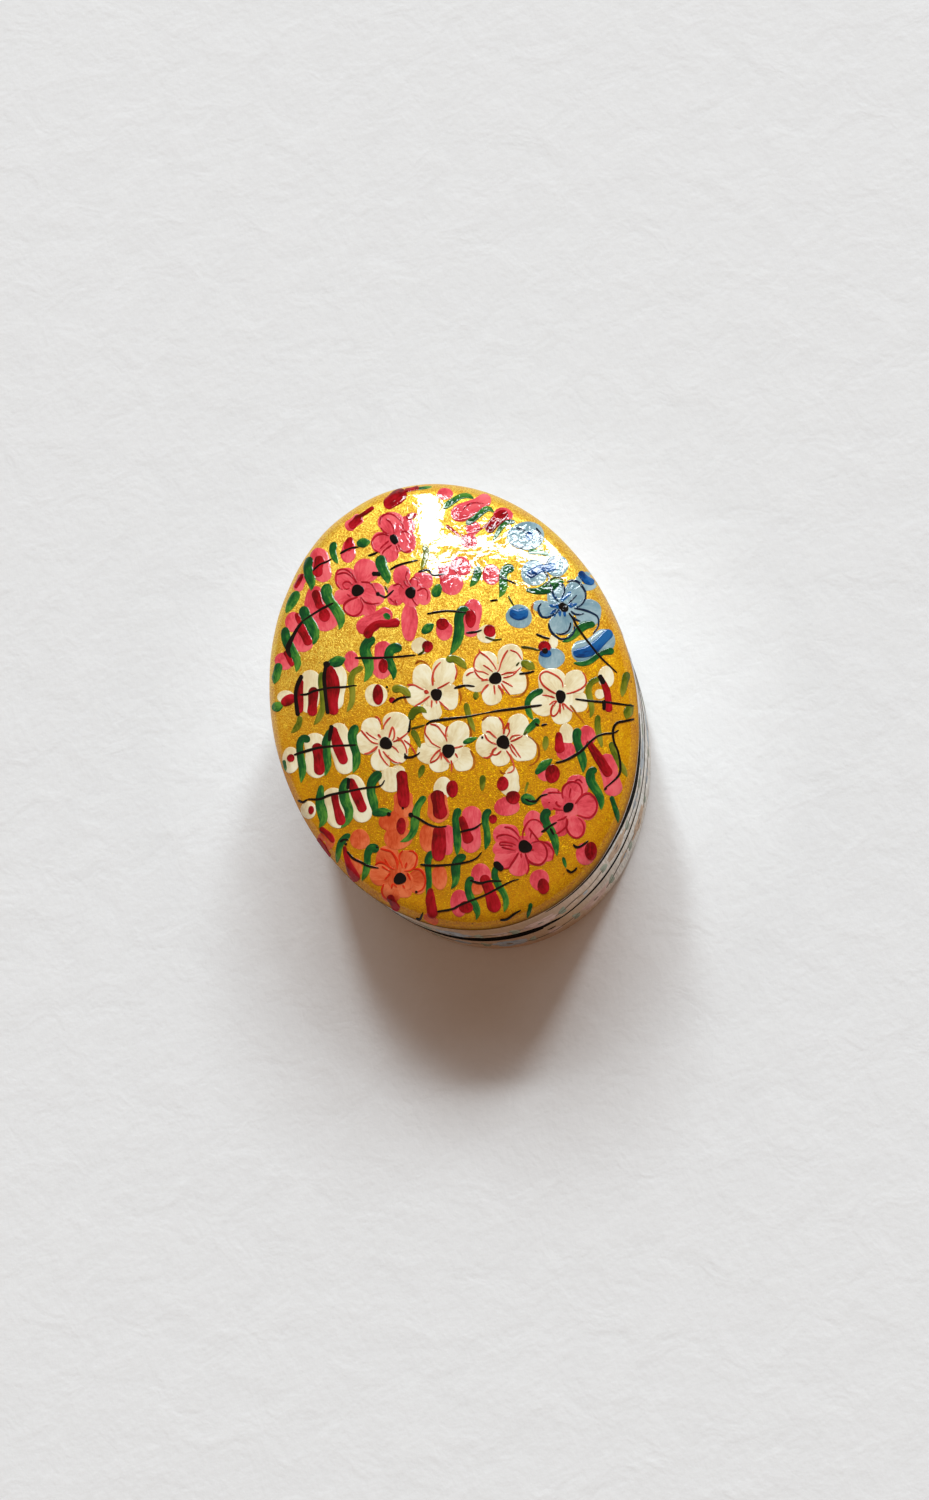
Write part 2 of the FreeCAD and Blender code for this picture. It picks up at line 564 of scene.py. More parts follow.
    def make(self):
        """Lays the strokes on the surface. Their shading mostly follows it, as lacquer levels them."""
        flat = np.concatenate(self.flat)
        points, normals = self.canvas.at(flat)
        lift = unevenness(points) + np.concatenate(self.lift)
        placed = points + normals * lift[:, None]
        piece = add_mesh(self.name, placed, self.faces, self.material, self.body)
        mesh = piece.data
        own = np.zeros(len(placed) * 3, np.float32)
        mesh.vertex_normals.foreach_get("vector", own)
        own = own.reshape(-1, 3)
        if (own * normals).sum() < 0:
            mesh.flip_normals()
            own = -own
        mixed = unit(normals * (1 - relief_share) + own * relief_share)
        mesh.normals_split_custom_set_from_vertices(mixed.tolist())
        brush = mesh.attributes.new("brush", "FLOAT_VECTOR", "POINT")
        brush.data.foreach_set("vector", np.concatenate(self.brush).astype(np.float32).ravel())


# Materials


def shade(red, green, blue):
    """A colour from screen values of 0 to 255 to the linear values that shaders take."""
    parts = [part / 255 for part in (red, green, blue)]
    linear = [((part + 0.055) / 1.055) ** 2.4 if part > 0.04045 else part / 12.92 for part in parts]
    return (*linear, 1.0)


class Material:
    """A node material around one principled shader. Noise scales are in waves per metre."""

    def __init__(self, name, **values):
        self.material = bpy.data.materials.new(name)
        self.material.use_nodes = True
        self.tree = self.material.node_tree
        self.shader = self.tree.nodes["Principled BSDF"]
        self.give(**values)

    def join(self, value, socket):
        """Links an output, or sets a plain value."""
        if isinstance(value, bpy.types.NodeSocket):
            self.tree.links.new(value, socket)
        else:
            socket.default_value = value

    def give(self, **values):
        """Feeds the shader's inputs, with underscores for spaces."""
        for name, value in values.items():
            self.join(value, self.shader.inputs[name.replace("_", " ")])

    def node(self, kind, **values):
        """A new node. Values name its properties, or with a leading i its inputs by number."""
        made = self.tree.nodes.new("ShaderNode" + kind)
        for name, value in values.items():
            if name[0] == "i" and name[1:].isdigit():
                self.join(value, made.inputs[int(name[1:])])
            else:
                setattr(made, name, value)
        return made

    def place(self):
        """Position on the piece, which doesn't change when the lid moves."""
        return self.node("TexCoord").outputs["Object"]

    def rim_share(self):
        """How far out on the oval a place is: 0 in the middle and 1 at the rim."""
        aside, along, _ = self.parts(self.place())
        aside = self.maths("POWER", self.maths("DIVIDE", aside, short_half), 2.0)
        along = self.maths("POWER", self.maths("DIVIDE", along, long_half), 2.0)
        return self.total(aside, along)

    def dome_lacquer(self):
        """The lacquer has been rubbed thin towards the rim."""
        return self.fade(self.rim_share(), 0.86, 1.0, 1.0, 0.12)

    def brush(self):
        """Position in the brush stroke: across it and along it in millimetres, and the stroke's number
        with the share of the stroke reached behind its point."""
        return self.node("Attribute", attribute_name="brush").outputs["Vector"]

    def stretch(self, vector, x, y, z):
        """The vector with its parts scaled."""
        return self.node("VectorMath", operation="MULTIPLY", i0=vector, i1=(x, y, z)).outputs[0]

    def noise(self, vector, scale, detail=3, roughness=0.55, distortion=0):
        """Cloudy noise between 0 and 1, centred on a half."""
        made = self.node("TexNoise")
        values = {"Vector": vector, "Scale": scale, "Detail": detail}
        values |= {"Roughness": roughness, "Distortion": distortion}
        for name, value in values.items():
            self.join(value, made.inputs[name])
        return made.outputs["Fac"]

    def maths(self, operation, a, b=0.0):
        """One sum on two numbers."""
        return self.node("Math", operation=operation, i0=a, i1=b).outputs[0]

    def times(self, a, b):
        """The product of two numbers."""
        return self.maths("MULTIPLY", a, b)

    def total(self, first, *others):
        """The sum of several numbers."""
        for other in others:
            first = self.maths("ADD", first, other)
        return first

    def parts(self, vector):
        """The three numbers of a vector."""
        return self.node("SeparateXYZ", i0=vector).outputs

    def fade(self, value, low, high, start=0.0, end=1.0):
        """The value taken from the range low to high to the range start to end, and held there."""
        return self.node("MapRange", i0=value, i1=low, i2=high, i3=start, i4=end).outputs[0]

    def ramp(self, value, *stops):
        """A colour ramp of (position, colour) stops."""
        made = self.node("ValToRGB", i0=value)
        elements = made.color_ramp.elements
        while len(elements) < len(stops):
            elements.new(0.5)
        for element, (position, colour) in zip(elements, stops):
            element.position = position
            element.color = colour
        return made.outputs[0]

    def mix(self, amount, a, b):
        """Colour a turning into colour b."""
        made = self.node("Mix", data_type="RGBA")
        self.join(amount, made.inputs[0])
        self.join(a, made.inputs[6])
        self.join(b, made.inputs[7])
        return made.outputs[2]

    def bump(self, height, distance, strength=1.0):
        """Small relief from a height between 0 and 1."""
        return self.node("Bump", i0=strength, i1=distance, i3=height).outputs[0]

    def varnish(self, roughness=0.015, weight=1.0, fineness=640, height=0.05):
        """The clear lacquer over everything outside, brushed on and so not quite level."""
        ripples = self.noise(self.place(), fineness, 2, 0.5, 0.6)
        relief = self.bump(ripples, height * mm)
        self.give(Coat_Weight=weight, Coat_IOR=1.5, Coat_Roughness=roughness, Coat_Normal=relief)


def paint(name, deep, body, light, lacquer=None, metal=0.0):
    """Brushed paint under lacquer, streaked along the stroke, with a tone of its own in each stroke.
    With some metal it is a thin wash over silver."""
    m = Material("paint_" + name, Specular_IOR_Level=0.0, Metallic=metal)
    m.varnish(weight=m.dome_lacquer() if lacquer is None else lacquer, fineness=900, height=0.06)
    brush = m.brush()
    sideways, _, number_and_share = m.parts(brush)
    share = m.maths("FRACT", number_and_share)
    number = m.maths("FLOOR", number_and_share)
    own = m.node("TexWhiteNoise", noise_dimensions="1D", i1=number).outputs["Value"]
    bristles = m.noise(m.stretch(brush, 3.0, 0.4, 3.7), 1.0, 4, 0.6)
    pools = m.noise(m.place(), 420, 3)
    tone = m.total(
        m.times(bristles, 0.5),
        m.times(pools, 0.5),
        m.fade(share, 0.1, 0.95, -0.07, 0.08),
        m.fade(own, 0.0, 1.0, -0.05, 0.05),
        m.fade(sideways, -0.6, 0.6, -0.06, 0.06),
    )
    m.give(
        Base_Color=m.ramp(tone, (0.36, deep), (0.5, body), (0.65, light)),
        Roughness=m.fade(bristles, 0.3, 0.7, 0.38, 0.5),
        Normal=m.bump(tone, 0.02 * mm, 0.5),
    )
    return m.material


def gold_leaf():
    """Gilded ground: crinkled leaf, with a painted highlight of bright yellow glints and more metal on the
    far half, which faces the window, ochre on the near half, a brown edge line that painted shade makes
    stronger on the near end, and dark pin dots."""
    m = Material("gold_leaf", Specular_Tint=shade(255, 234, 120))
    m.varnish(weight=m.dome_lacquer(), fineness=520, height=0.045)
    place = m.place()
    share = m.rim_share()
    fibres = m.noise(m.stretch(place, 1.0, 0.8, 1.0), 1700, 4, 0.62, 3.0)
    folds = m.maths("ABSOLUTE", m.maths("SUBTRACT", m.noise(place, 1300, 2, 0.5, 2.0), 0.5))
    grain = m.noise(place, 4200, 2, 0.7)
    patches = m.noise(place, 170, 4, 0.6, 0.6)
    tone = m.total(
        m.times(fibres, 0.55),
        m.times(grain, 0.25),
        m.fade(folds, 0.0, 0.06, 0.2, 0.07),
        m.fade(patches, 0.3, 0.7, -0.035, 0.035),
    )
    leaf = m.ramp(
        tone,
        (0.37, shade(184, 112, 2)), (0.45, shade(208, 136, 2)), (0.53, shade(222, 152, 2)),
        (0.62, shade(246, 196, 14)),
    )
    _, along, height = m.parts(place)
    # A brown line round the lower edge of the gilding. It is at a quarter of its strength all round, and at
    # full strength on the near end as painted shade, since that end faces away from the window.
    at_edge = m.fade(height, wall_top + 0.5 * mm, wall_top + 2.0 * mm, 0.9, 0.0)
    browned = m.times(at_edge, m.fade(along, -0.9 * long_half, -0.4 * long_half, 1.0, 0.25))
    leaf = m.mix(browned, leaf, shade(64, 30, 2))
    # Painted highlight: the far half, which faces the window, gets bright yellow glints painted into its
    # colour, and keeps its metal and specular up to the rim.
    painted_lit_half = m.fade(along, -0.06 * long_half, 0.34 * long_half)
    painted_glints = m.times(painted_lit_half, m.fade(tone, 0.47, 0.57, 0.05, 1.0))
    leaf = m.mix(painted_glints, leaf, shade(255, 224, 92))
    shine = m.maths("MAXIMUM", m.fade(share, 0.75, 0.95, 1.0, 0.0), painted_lit_half)
    pin = m.fade(m.noise(m.stretch(place, 1.0, 1.0, 1.3), 620, 2, 0.5), 0.745, 0.775)
    m.give(
        Base_Color=m.mix(m.times(pin, 0.75), leaf, shade(92, 48, 6)),
        Metallic=m.times(m.fade(tone, 0.46, 0.58, 0.15, 0.8), shine),
        Specular_IOR_Level=m.times(m.fade(painted_lit_half, 0.0, 1.0, 0.4, 0.9), shine),
        Roughness=m.fade(fibres, 0.35, 0.65, 0.5, 0.3),
        Normal=m.bump(tone, 0.155 * mm, m.fade(share, 0.75, 0.95, 0.8, 0.3)),
    )
    return m.material


def silver():
    """Silver-grey ground with fine upright brush marks, brownish patches and grime, and a painted warm
    shade that browns its near end.
    """
    m = Material("silver_ground", Specular_IOR_Level=0.1)
    m.varnish(0.08, side_lacquer)
    place = m.place()
    hatch = m.noise(m.stretch(place, 1.0, 1.0, 0.07), 2600, 4, 0.65)
    patches = m.noise(place, 150, 4, 0.6, 0.5)
    grime = m.noise(place, 60, 3, 0.6)
    ground = m.ramp(
        hatch, (0.34, shade(176, 166, 152)), (0.5, shade(216, 210, 200)), (0.66, shade(240, 236, 228))
    )
    _, along, _ = m.parts(place)
    # Painted shade: the near end, which faces away from the window, is tinged brown like the warm shaded
    # floor that it reflects.
    painted_shade_end = m.fade(along, -0.97 * long_half, -0.78 * long_half, 0.75, 0.0)
    browned = m.mix(painted_shade_end, ground, shade(206, 152, 92))
    aged_and_shaded = m.mix(m.fade(patches, 0.45, 0.7, 0.0, 0.5), browned, shade(196, 164, 126))
    m.give(
        Base_Color=m.mix(m.fade(grime, 0.5, 0.8, 0.0, 0.5), aged_and_shaded, shade(150, 136, 118)),
        Metallic=m.fade(hatch, 0.35, 0.65, 0.75, 0.95),
        Roughness=m.fade(patches, 0.3, 0.7, 0.3, 0.45),
        Normal=m.bump(hatch, 0.03 * mm, 0.6),
    )
    return m.material


def black_lacquer():
    """Glossy black underside with faint scuffs."""
    m = Material("black_lacquer")
    m.varnish(0.06)
    place = m.place()
    scuffs = m.noise(m.stretch(place, 1.0, 0.12, 1.0), 1600, 5, 0.7, 0.3)
    dust = m.noise(place, 900, 4, 0.6)
    m.give(
        Base_Color=m.ramp(scuffs, (0.45, shade(22, 19, 17)), (0.72, shade(64, 55, 46))),
        Roughness=m.fade(dust, 0.35, 0.7, 0.3, 0.55),
        Normal=m.bump(scuffs, 0.01 * mm, 0.5),
    )
    return m.material


def black_card():
    """Card painted black, with its fibres showing and brown card where handling has worn it."""
    m = Material("black_card", Specular_IOR_Level=0.3)
    place = m.place()
    fibres = m.noise(m.stretch(place, 1.0, 1.0, 0.35), 1900, 5, 0.7, 0.8)
    worn = m.noise(place, 330, 5, 0.7, 0.4)
    black = m.ramp(fibres, (0.35, shade(20, 18, 17)), (0.7, shade(52, 46, 41)))
    m.give(
        Base_Color=m.mix(m.fade(worn, 0.66, 0.74, 0.0, 0.8), black, shade(126, 98, 66)),
        Roughness=m.fade(fibres, 0.3, 0.7, 0.45, 0.7),
        Normal=m.bump(fibres, 0.04 * mm, 0.7),
    )
    return m.material


def card():
    """Bare layered card."""
    m = Material("card", Roughness=0.85, Specular_IOR_Level=0.2)
    place = m.place()
    fibres = m.noise(m.stretch(place, 0.5, 1.0, 2.5), 1500, 6, 0.7, 1.2)
    flecks = m.noise(place, 2600, 2, 0.6)
    pulp = m.ramp(fibres, (0.3, shade(136, 108, 74)), (0.7, shade(196, 168, 126)))
    m.give(
        Base_Color=m.mix(m.fade(flecks, 0.66, 0.74, 0.0, 0.6), pulp, shade(86, 66, 46)),
        Normal=m.bump(fibres, 0.06 * mm, 0.8),
    )
    return m.material


def paper_floor():
    """Plain pale paper with a fine tooth, and a painted pool of light that makes it a little lighter round
    the box.
    """
    m = Material("paper_floor", Roughness=0.9, Specular_IOR_Level=0.0)
    place = m.place()
    tooth = m.noise(place, 700, 5, 0.6)
    apart = m.node("VectorMath", operation="LENGTH", i0=place).outputs["Value"]
    # Painted light: the paper is lighter within about 36 mm of the middle under the box, fading out by 60
    # mm.
    near = m.fade(apart, 0.036, 0.06, 1.0, 0.0)
    mottle = m.noise(place, 130, 3, 0.55, 0.5)
    tone = m.total(m.times(near, 0.55), m.times(tooth, 0.25), m.times(mottle, 0.2))
    m.give(
        Base_Color=m.ramp(tone, (0.1, shade(*wall_shade)), (0.9, shade(246, 246, 246))),
        Normal=m.bump(m.total(tooth, m.times(mottle, 3.0)), 0.15 * mm, 0.6),
    )
    return m.material


# The painting on the dome, in photo pixels


# Leaves: the radius, or a list of them along the stroke, and its points
green_leaves_px = [
    (3.5, (335, 542), (331, 550), (334, 556), (338, 564)),
    ((3.5, 5, 5.2, 5), (311, 557), (306, 566), (309, 575), (313, 583), (311, 591)),
    (4.5, (298, 591), (286, 613)),
    (5.5, (329, 584), (324, 592), (329, 601), (336, 608), (341, 616), (342, 624), (339, 630)),
    (6.0, (304, 606), (303, 614), (309, 623), (314, 631), (317, 638), (313, 645)),
    ((4, 4.8, 5.2, 5), (286, 627), (284.5, 634), (287, 642), (292, 651), (297, 659), (299, 665),
     (296, 672)), (4.2, (279.5, 663), (274, 684)), (4.5, (356.5, 544), (370.5, 541.5)),
    (5.6, (382, 555), (379.5, 563), (384, 571), (388, 577), (388, 584)), (4.0, (389, 614), (385, 619)),
    (5.3, (375, 638), (366, 642), (363.5, 650), (367, 658), (371, 666), (369, 675), (364, 682)),
    (4.8, (402, 649), (396, 646), (389, 650), (387, 658), (391, 667), (396, 673), (393, 680)),
    (5.2, (328, 665), (346, 658.5)), (4.8, (272, 709), (283, 704)), (1.6, (284, 760), (286, 771)),
    (1.3, (417, 489), (432, 487)), (3.0, (443, 508), (452, 502), (460, 496), (468, 494), (474, 499)),
    (3.0, (466, 524), (474, 520), (482, 512), (487, 507), (492, 510), (494, 513)),
    (2.5, (515, 522), (506, 521), (502, 526), (497, 534), (493, 541)),
    (2.5, (528, 552), (537, 551), (545, 553), (551, 556)),
    ((1.5, 3.5, 5.5, 5, 3.5), (526, 590), (537, 592), (546, 590), (552, 584), (558, 581), (565, 582)),
    ((3.5, 4.2, 4, 3), (595, 625), (589, 624), (583, 626), (578, 630), (573, 636), (567, 641), (562, 642)),
    ((4, 2.5, 3.2, 2.5, 1.5), (614, 651), (603, 651), (597, 656), (590, 662), (584, 665), (573, 663)),
    (5.0, (469, 610), (461, 608), (456, 618), (462, 631), (457, 643), (450, 655)),
    (4.0, (478, 566), (478, 573), (476, 580), (470, 587)),
    (4.5, (514, 570), (508, 566), (502, 572), (503, 582), (505, 590), (499, 598)),
    (4.3, (422, 633), (428, 628), (434, 624)), (5.0, (434, 597), (440, 584)),
    (3.7, (310, 741), (303, 734), (298, 744), (300, 757), (304.5, 769), (301, 783)),
    (4.3, (332, 729), (324, 741), (326, 755), (330, 764), (325, 776)),
    (4.3, (357, 725), (350, 734), (353, 744), (358, 755), (357, 764), (353, 773)),
    ((2, 4.5, 5, 4.6, 3), (321.5, 785), (321, 794), (318, 803), (323.5, 814), (325, 821), (319, 828)),
    (4.8, (349, 778), (341, 787), (344, 800), (351, 811), (350, 820), (341, 828)),
    (4.7, (381, 772), (370, 780), (369, 792), (376, 804), (375.5, 816)),
    (4.2, (372, 813), (383, 812), (392, 811.5)),
    (3.2, (350, 834), (345, 838), (340, 842), (339, 850), (338, 857), (337, 863)),
    ((4.6, 4.2, 3.5, 3.2, 2.5), (379, 850), (371, 844), (366, 854), (368.5, 864), (366.5, 872), (362, 881)),
    ((3.5, 3.8, 4.2, 3.5, 2), (425, 796), (415, 806), (415.5, 820), (415, 831), (409, 840), (400, 842)),
    ((3.6, 3.2, 3.2, 1.5), (433, 851), (426, 858), (428, 868), (430.5, 881), (427.5, 899)),
    (3.8, (459, 808), (453.5, 818), (457, 830), (458, 840), (457, 856)),
    (4.5, (466, 856), (458, 857), (454, 866), (457, 876), (456, 884), (451, 889)),
    (3.5, (491, 810), (485, 812), (484, 822), (488, 832), (488, 842), (485, 850)),
    (3.8, (473, 877), (468, 881), (467, 890), (471, 900), (477, 908), (479, 913), (476, 920)),
    (3.3, (498, 866), (494, 870), (494, 876), (498, 886), (505, 894), (508, 902), (504, 912)),
    ((5.5, 6, 3), (521, 797), (527, 799), (537, 803)),
    ((5.5, 5, 4, 4, 4), (551, 812), (545, 811), (543, 819), (547, 825), (551, 831), (556, 839), (557, 856)),
    (4.5, (597, 771), (593, 769), (589, 774), (590, 782), (595, 788), (600, 795), (602, 802), (601, 810)),
    (4.3, (578, 728), (574, 738), (580, 750), (584.5, 762), (583, 773)),
    ((2.5, 4.5, 4), (535.5, 774), (543, 765), (552.5, 759)),
    (3.2, (543, 690), (532, 693), (526, 702), (527, 710), (533, 720)),
    ((4.2, 3.4, 1.4), (539, 719), (531, 727), (523, 735)), (1.8, (563, 857), (566, 868)),
    (2.0, (531, 903), (530, 910), (527, 918)), (2.5, (611, 796), (614, 806), (618, 815), (618, 823)),
    ((2.0, 2.8, 1.6), (463, 743), (470, 740), (478, 737.5)),
]

olive_leaves_px = [
    (3.0, (322, 672), (320, 682), (323, 695), (325, 708), (318, 720), (314, 725)),
    (3.0, (300, 716), (300, 724), (296, 729), (291, 733)),
    (3.0, (363, 667), (352, 671), (349, 680), (354, 692), (353, 703), (347, 712)),
    (4.0, (392, 690), (399, 687), (405, 690), (411, 697)),
    (4.0, (410, 720), (413, 711), (418, 708), (424, 710), (427, 713)),
    (3.0, (412, 730), (416, 736), (419, 743), (420, 748)),
    (4.0, (446, 660), (453, 657), (461, 661), (467, 669)), (4.0, (473, 695), (479, 696)),
    (2.8, (466, 703), (467, 712), (471, 722), (475, 732)), (4.5, (521, 662), (528, 664), (535, 669)),
    (3.0, (600, 678), (590, 681), (586, 690), (592, 702), (593, 712), (590, 718)),
    (3.5, (627, 672), (624, 685), (622, 697)), (4.6, (631, 704), (626, 719)),
    (3.0, (598, 715), (596, 725), (600, 738), (602, 748)),
    (3.0, (611, 742), (613, 752), (618, 762), (624, 770), (627, 777)), (3.0, (546, 736), (545, 751)),
    (2.9, (483, 775), (482, 791)), (1.3, (528, 782), (526, 788), (525, 793)),
    (2.8, (423.5, 765), (419, 778)), (3.0, (424, 545), (427, 551), (426, 558), (421, 570)),
]

# Buds and their darker cores: a radius or a pair of them at one point, or a stroke through several
pink_buds_px = [
    (5.5, (346, 529), (362, 516)), (7, (350, 540), (347, 563)), (9.5, (317, 548), (325, 582)),
    (5, (304, 574), (296, 591)), (10, (316, 586), (314, 618)), ((13, 12.5), (326, 619)),
    ((7.5, 10), (292.5, 622)), (11, (303, 641)), (9, (284, 661)), ((8, 6), (445, 494)),
    ((9.5, 7), (451, 516), (471, 509), (490, 497)), ((10, 7), (503, 515)), (9, (357, 630), (381, 618)),
    (8.8, (474, 599), (470, 637)), ((8.7, 9.7), (444.3, 630.5)), (9, (490, 564), (493, 585)),
    ((7.2, 11), (351.3, 661.5)), (9, (384, 641), (381, 679)), ((8.5, 10.5), (587, 736)),
    (9, (605, 754), (615, 796)), ((9.5, 9.5), (565.5, 750.5)), ((8, 8), (545, 773)),
    ((9.5, 11), (585, 854)), ((9.5, 11), (539.5, 880)), ((12.8, 9.6), (506.8, 806.5)),
    (9.5, (472, 806), (470.5, 853)), ((10, 10.5), (481, 874)), ((9, 14), (459.5, 903)),
    (11, (446, 564), (455, 595)), (9, (452, 560), (470, 572)), ((8, 7.5), (469, 541)),
    ((6.5, 6), (466, 531), (480, 525)), (6, (448, 825), (447, 855)), (8, (392, 612), (366, 624)),
]
orange_buds_px = [
    ((9.8, 10.3), (360, 839.5)), ((9, 10), (326, 841)), (6, (354, 858), (358, 876)),
    (10, (403, 790), (404, 818)), ((15, 11), (394, 822)), ((14, 12), (398, 838)),
    (10.5, (437, 791), (439, 823)), ((9, 14), (428, 838)), ((7.8, 12.5), (439.5, 877.5)),
    ((6.5, 7), (477, 888)), (4, (424, 915), (438, 923)),
]
cream_buds_px = [
    ((9, 6.5), (286, 697)), (9.8, (311, 670), (308, 713)), (10.5, (337, 664), (333, 710)),
    ((11.5, 11), (376, 695)), ((8.5, 8.5), (420, 646)), ((8.5, 13.5), (291, 760)),
    (10.8, (314, 733), (317.5, 778)), (10.4, (337, 723), (346.5, 774)), ((7.5, 9), (308.5, 810)),
    (10.5, (331, 788), (340, 828)), (10.7, (350, 775), (365, 822)), (12.5, (391, 780)), (7, (398, 772)),
    ((9.5, 11), (443, 788)), ((2, 8, 9.8, 9), (513, 766), (512, 772), (510.5, 782), (508, 796)),
    ((8, 11), (606, 677)), (5, (600, 694)), ((9.5, 9), (486.5, 634)), ((7.5, 11.5), (566.5, 735)),
    ((4.5, 7), (553.5, 641.5)),
]
blue_buds_px = [
    (13, (534, 573)), (11, (557, 566)), ((12, 9.5), (586.5, 581.5)),
    (11, (572, 655), (594, 647), (613, 634)), ((13, 12), (519, 616.5)), ((13, 11), (551.4, 658.4)),
    ((19, 14), (526, 536)),
]
crimson_cores_px = [
    (4, (361, 516), (350, 528)), (2, (357, 518), (365, 513), (374, 507)),
    ((3, 4, 4.5), (351, 537), (349, 544), (347, 551)), (4.8, (320.5, 556), (317, 577)),
    (2, (303, 574), (295, 588)), (4.4, (315, 590), (321, 609)), ((5.8, 6.4), (324.7, 615.3)),
    (2.5, (296.5, 613), (300, 624)), (4.4, (299, 624), (310, 645)), (2.5, (285, 651), (293, 666)),
    (6.5, (406, 491.5), (384.5, 506.5)), (1.8, (405, 491), (419, 488)),
    (5.5, (487, 532), (496, 521), (507, 512)),
    ((6, 4, 3.5, 4, 5), (366, 638), (371, 629), (379, 624), (388, 624), (400, 622)),
    ((5.6, 9), (470.7, 618.5)), ((6, 6.3), (489.7, 631)), ((6.3, 6), (442.5, 624)),
    ((4.8, 7), (383.3, 666)), ((3.5, 5.6), (587.5, 741), (610, 776)),
    ((2.5, 4.5, 5.5), (558.5, 732), (559, 741), (560, 753)), ((7.3, 9.4), (552.4, 773.8)),
    ((6.3, 9), (590.7, 850.8)), ((6, 7.8), (543.3, 886.3)), ((7, 6.8), (513, 797.3)),
    ((3, 4, 6.8), (461, 816), (464, 826), (469.5, 843)),
    ((4.5, 6, 7.2), (483, 875), (490, 892), (496, 912)), ((7, 6), (466, 907)), ((4, 4.6), (493, 819)),
    ((2.5, 3, 2), (320, 828), (328, 834), (334, 842)), ((2, 3, 2), (318, 838), (325, 850), (330, 857)),
    ((1.5, 2.7, 4.6, 4), (344.5, 846), (346.5, 856), (351, 869), (358, 881)),
    (5.8, (401.5, 770.5), (404.5, 808)), ((4.8, 8.2), (401.3, 826)), (6.8, (436.5, 790), (441.5, 819)),
    (7, (439.5, 826), (438.5, 861)),
    ((2.5, 4.5, 5.6, 5), (430.5, 888), (430.5, 900), (432, 909), (433, 918)), (3.6, (389, 895), (398, 911)),
    (4.8, (281.5, 704), (295.5, 696)), (4.8, (314, 687), (312, 716)), (3.5, (300, 679), (300, 713)),
    ((3.5, 6.5, 6.8, 5.5, 5), (330, 666), (332, 676), (333, 688), (333, 700), (334, 715)),
    ((5.3, 10.5), (378, 694.7)), ((5.5, 6), (427.5, 646.5)), (3.8, (291, 758)),
    (5.1, (317, 743), (320, 775)), ((4, 5.3, 5.2), (332.5, 727), (338, 745), (345, 764)),
    ((2.8, 4.2), (311.3, 810)), ((3.5, 3.8, 5), (334.5, 793.5), (336.5, 806), (342.5, 825)),
    ((4.4, 5.3), (349.5, 778.5), (364, 812)), ((5.8, 8.8), (452.3, 788.8)), ((6, 7.2), (502.7, 783.7)),
    ((2.5, 3.5, 4), (600, 676), (607, 692), (609, 712)), ((6.3, 5.5), (544.5, 646.5)), (3, (392, 700)),
]
deep_blue_cores_px = [
    (4, (527, 576), (540, 569), (548, 568), (556, 566)), (3.5, (579, 572), (586, 580), (594, 583)),
    ((4.5, 5.5, 5), (573, 654), (591, 650), (611, 631)),
    ((3.5, 6, 4.5), (510, 611), (518, 615), (528, 611)), ((6, 4), (545.5, 653.4)), ((3.5, 4.5), (529, 536)),
]
black_dabs_px = [
    (2, (302, 675), (296, 692), (298, 716)), (3.4, (327, 664.5)),
    (1.8, (326.5, 664), (324.5, 677), (325.5, 691), (328, 714)), (1.2, (387, 687)),
    ((2.6, 1.5), (332, 725), (329.5, 741)), (1.6, (349, 778), (348, 789)), (2.5, (599, 675), (604, 684)),
    (1.8, (604, 700), (604, 710)), (3, (545, 651)), (2, (389, 814)), (3.3, (494, 862), (503, 870)),
    (2, (372, 574), (381, 574)), (2, (378, 594)), (2, (406, 757)), (2.5, (411, 815)), (1.3, (346, 844)),
    (1.3, (416.4, 891.8)), (1.2, (482.3, 737.5)), (1.2, (403, 808)),
]
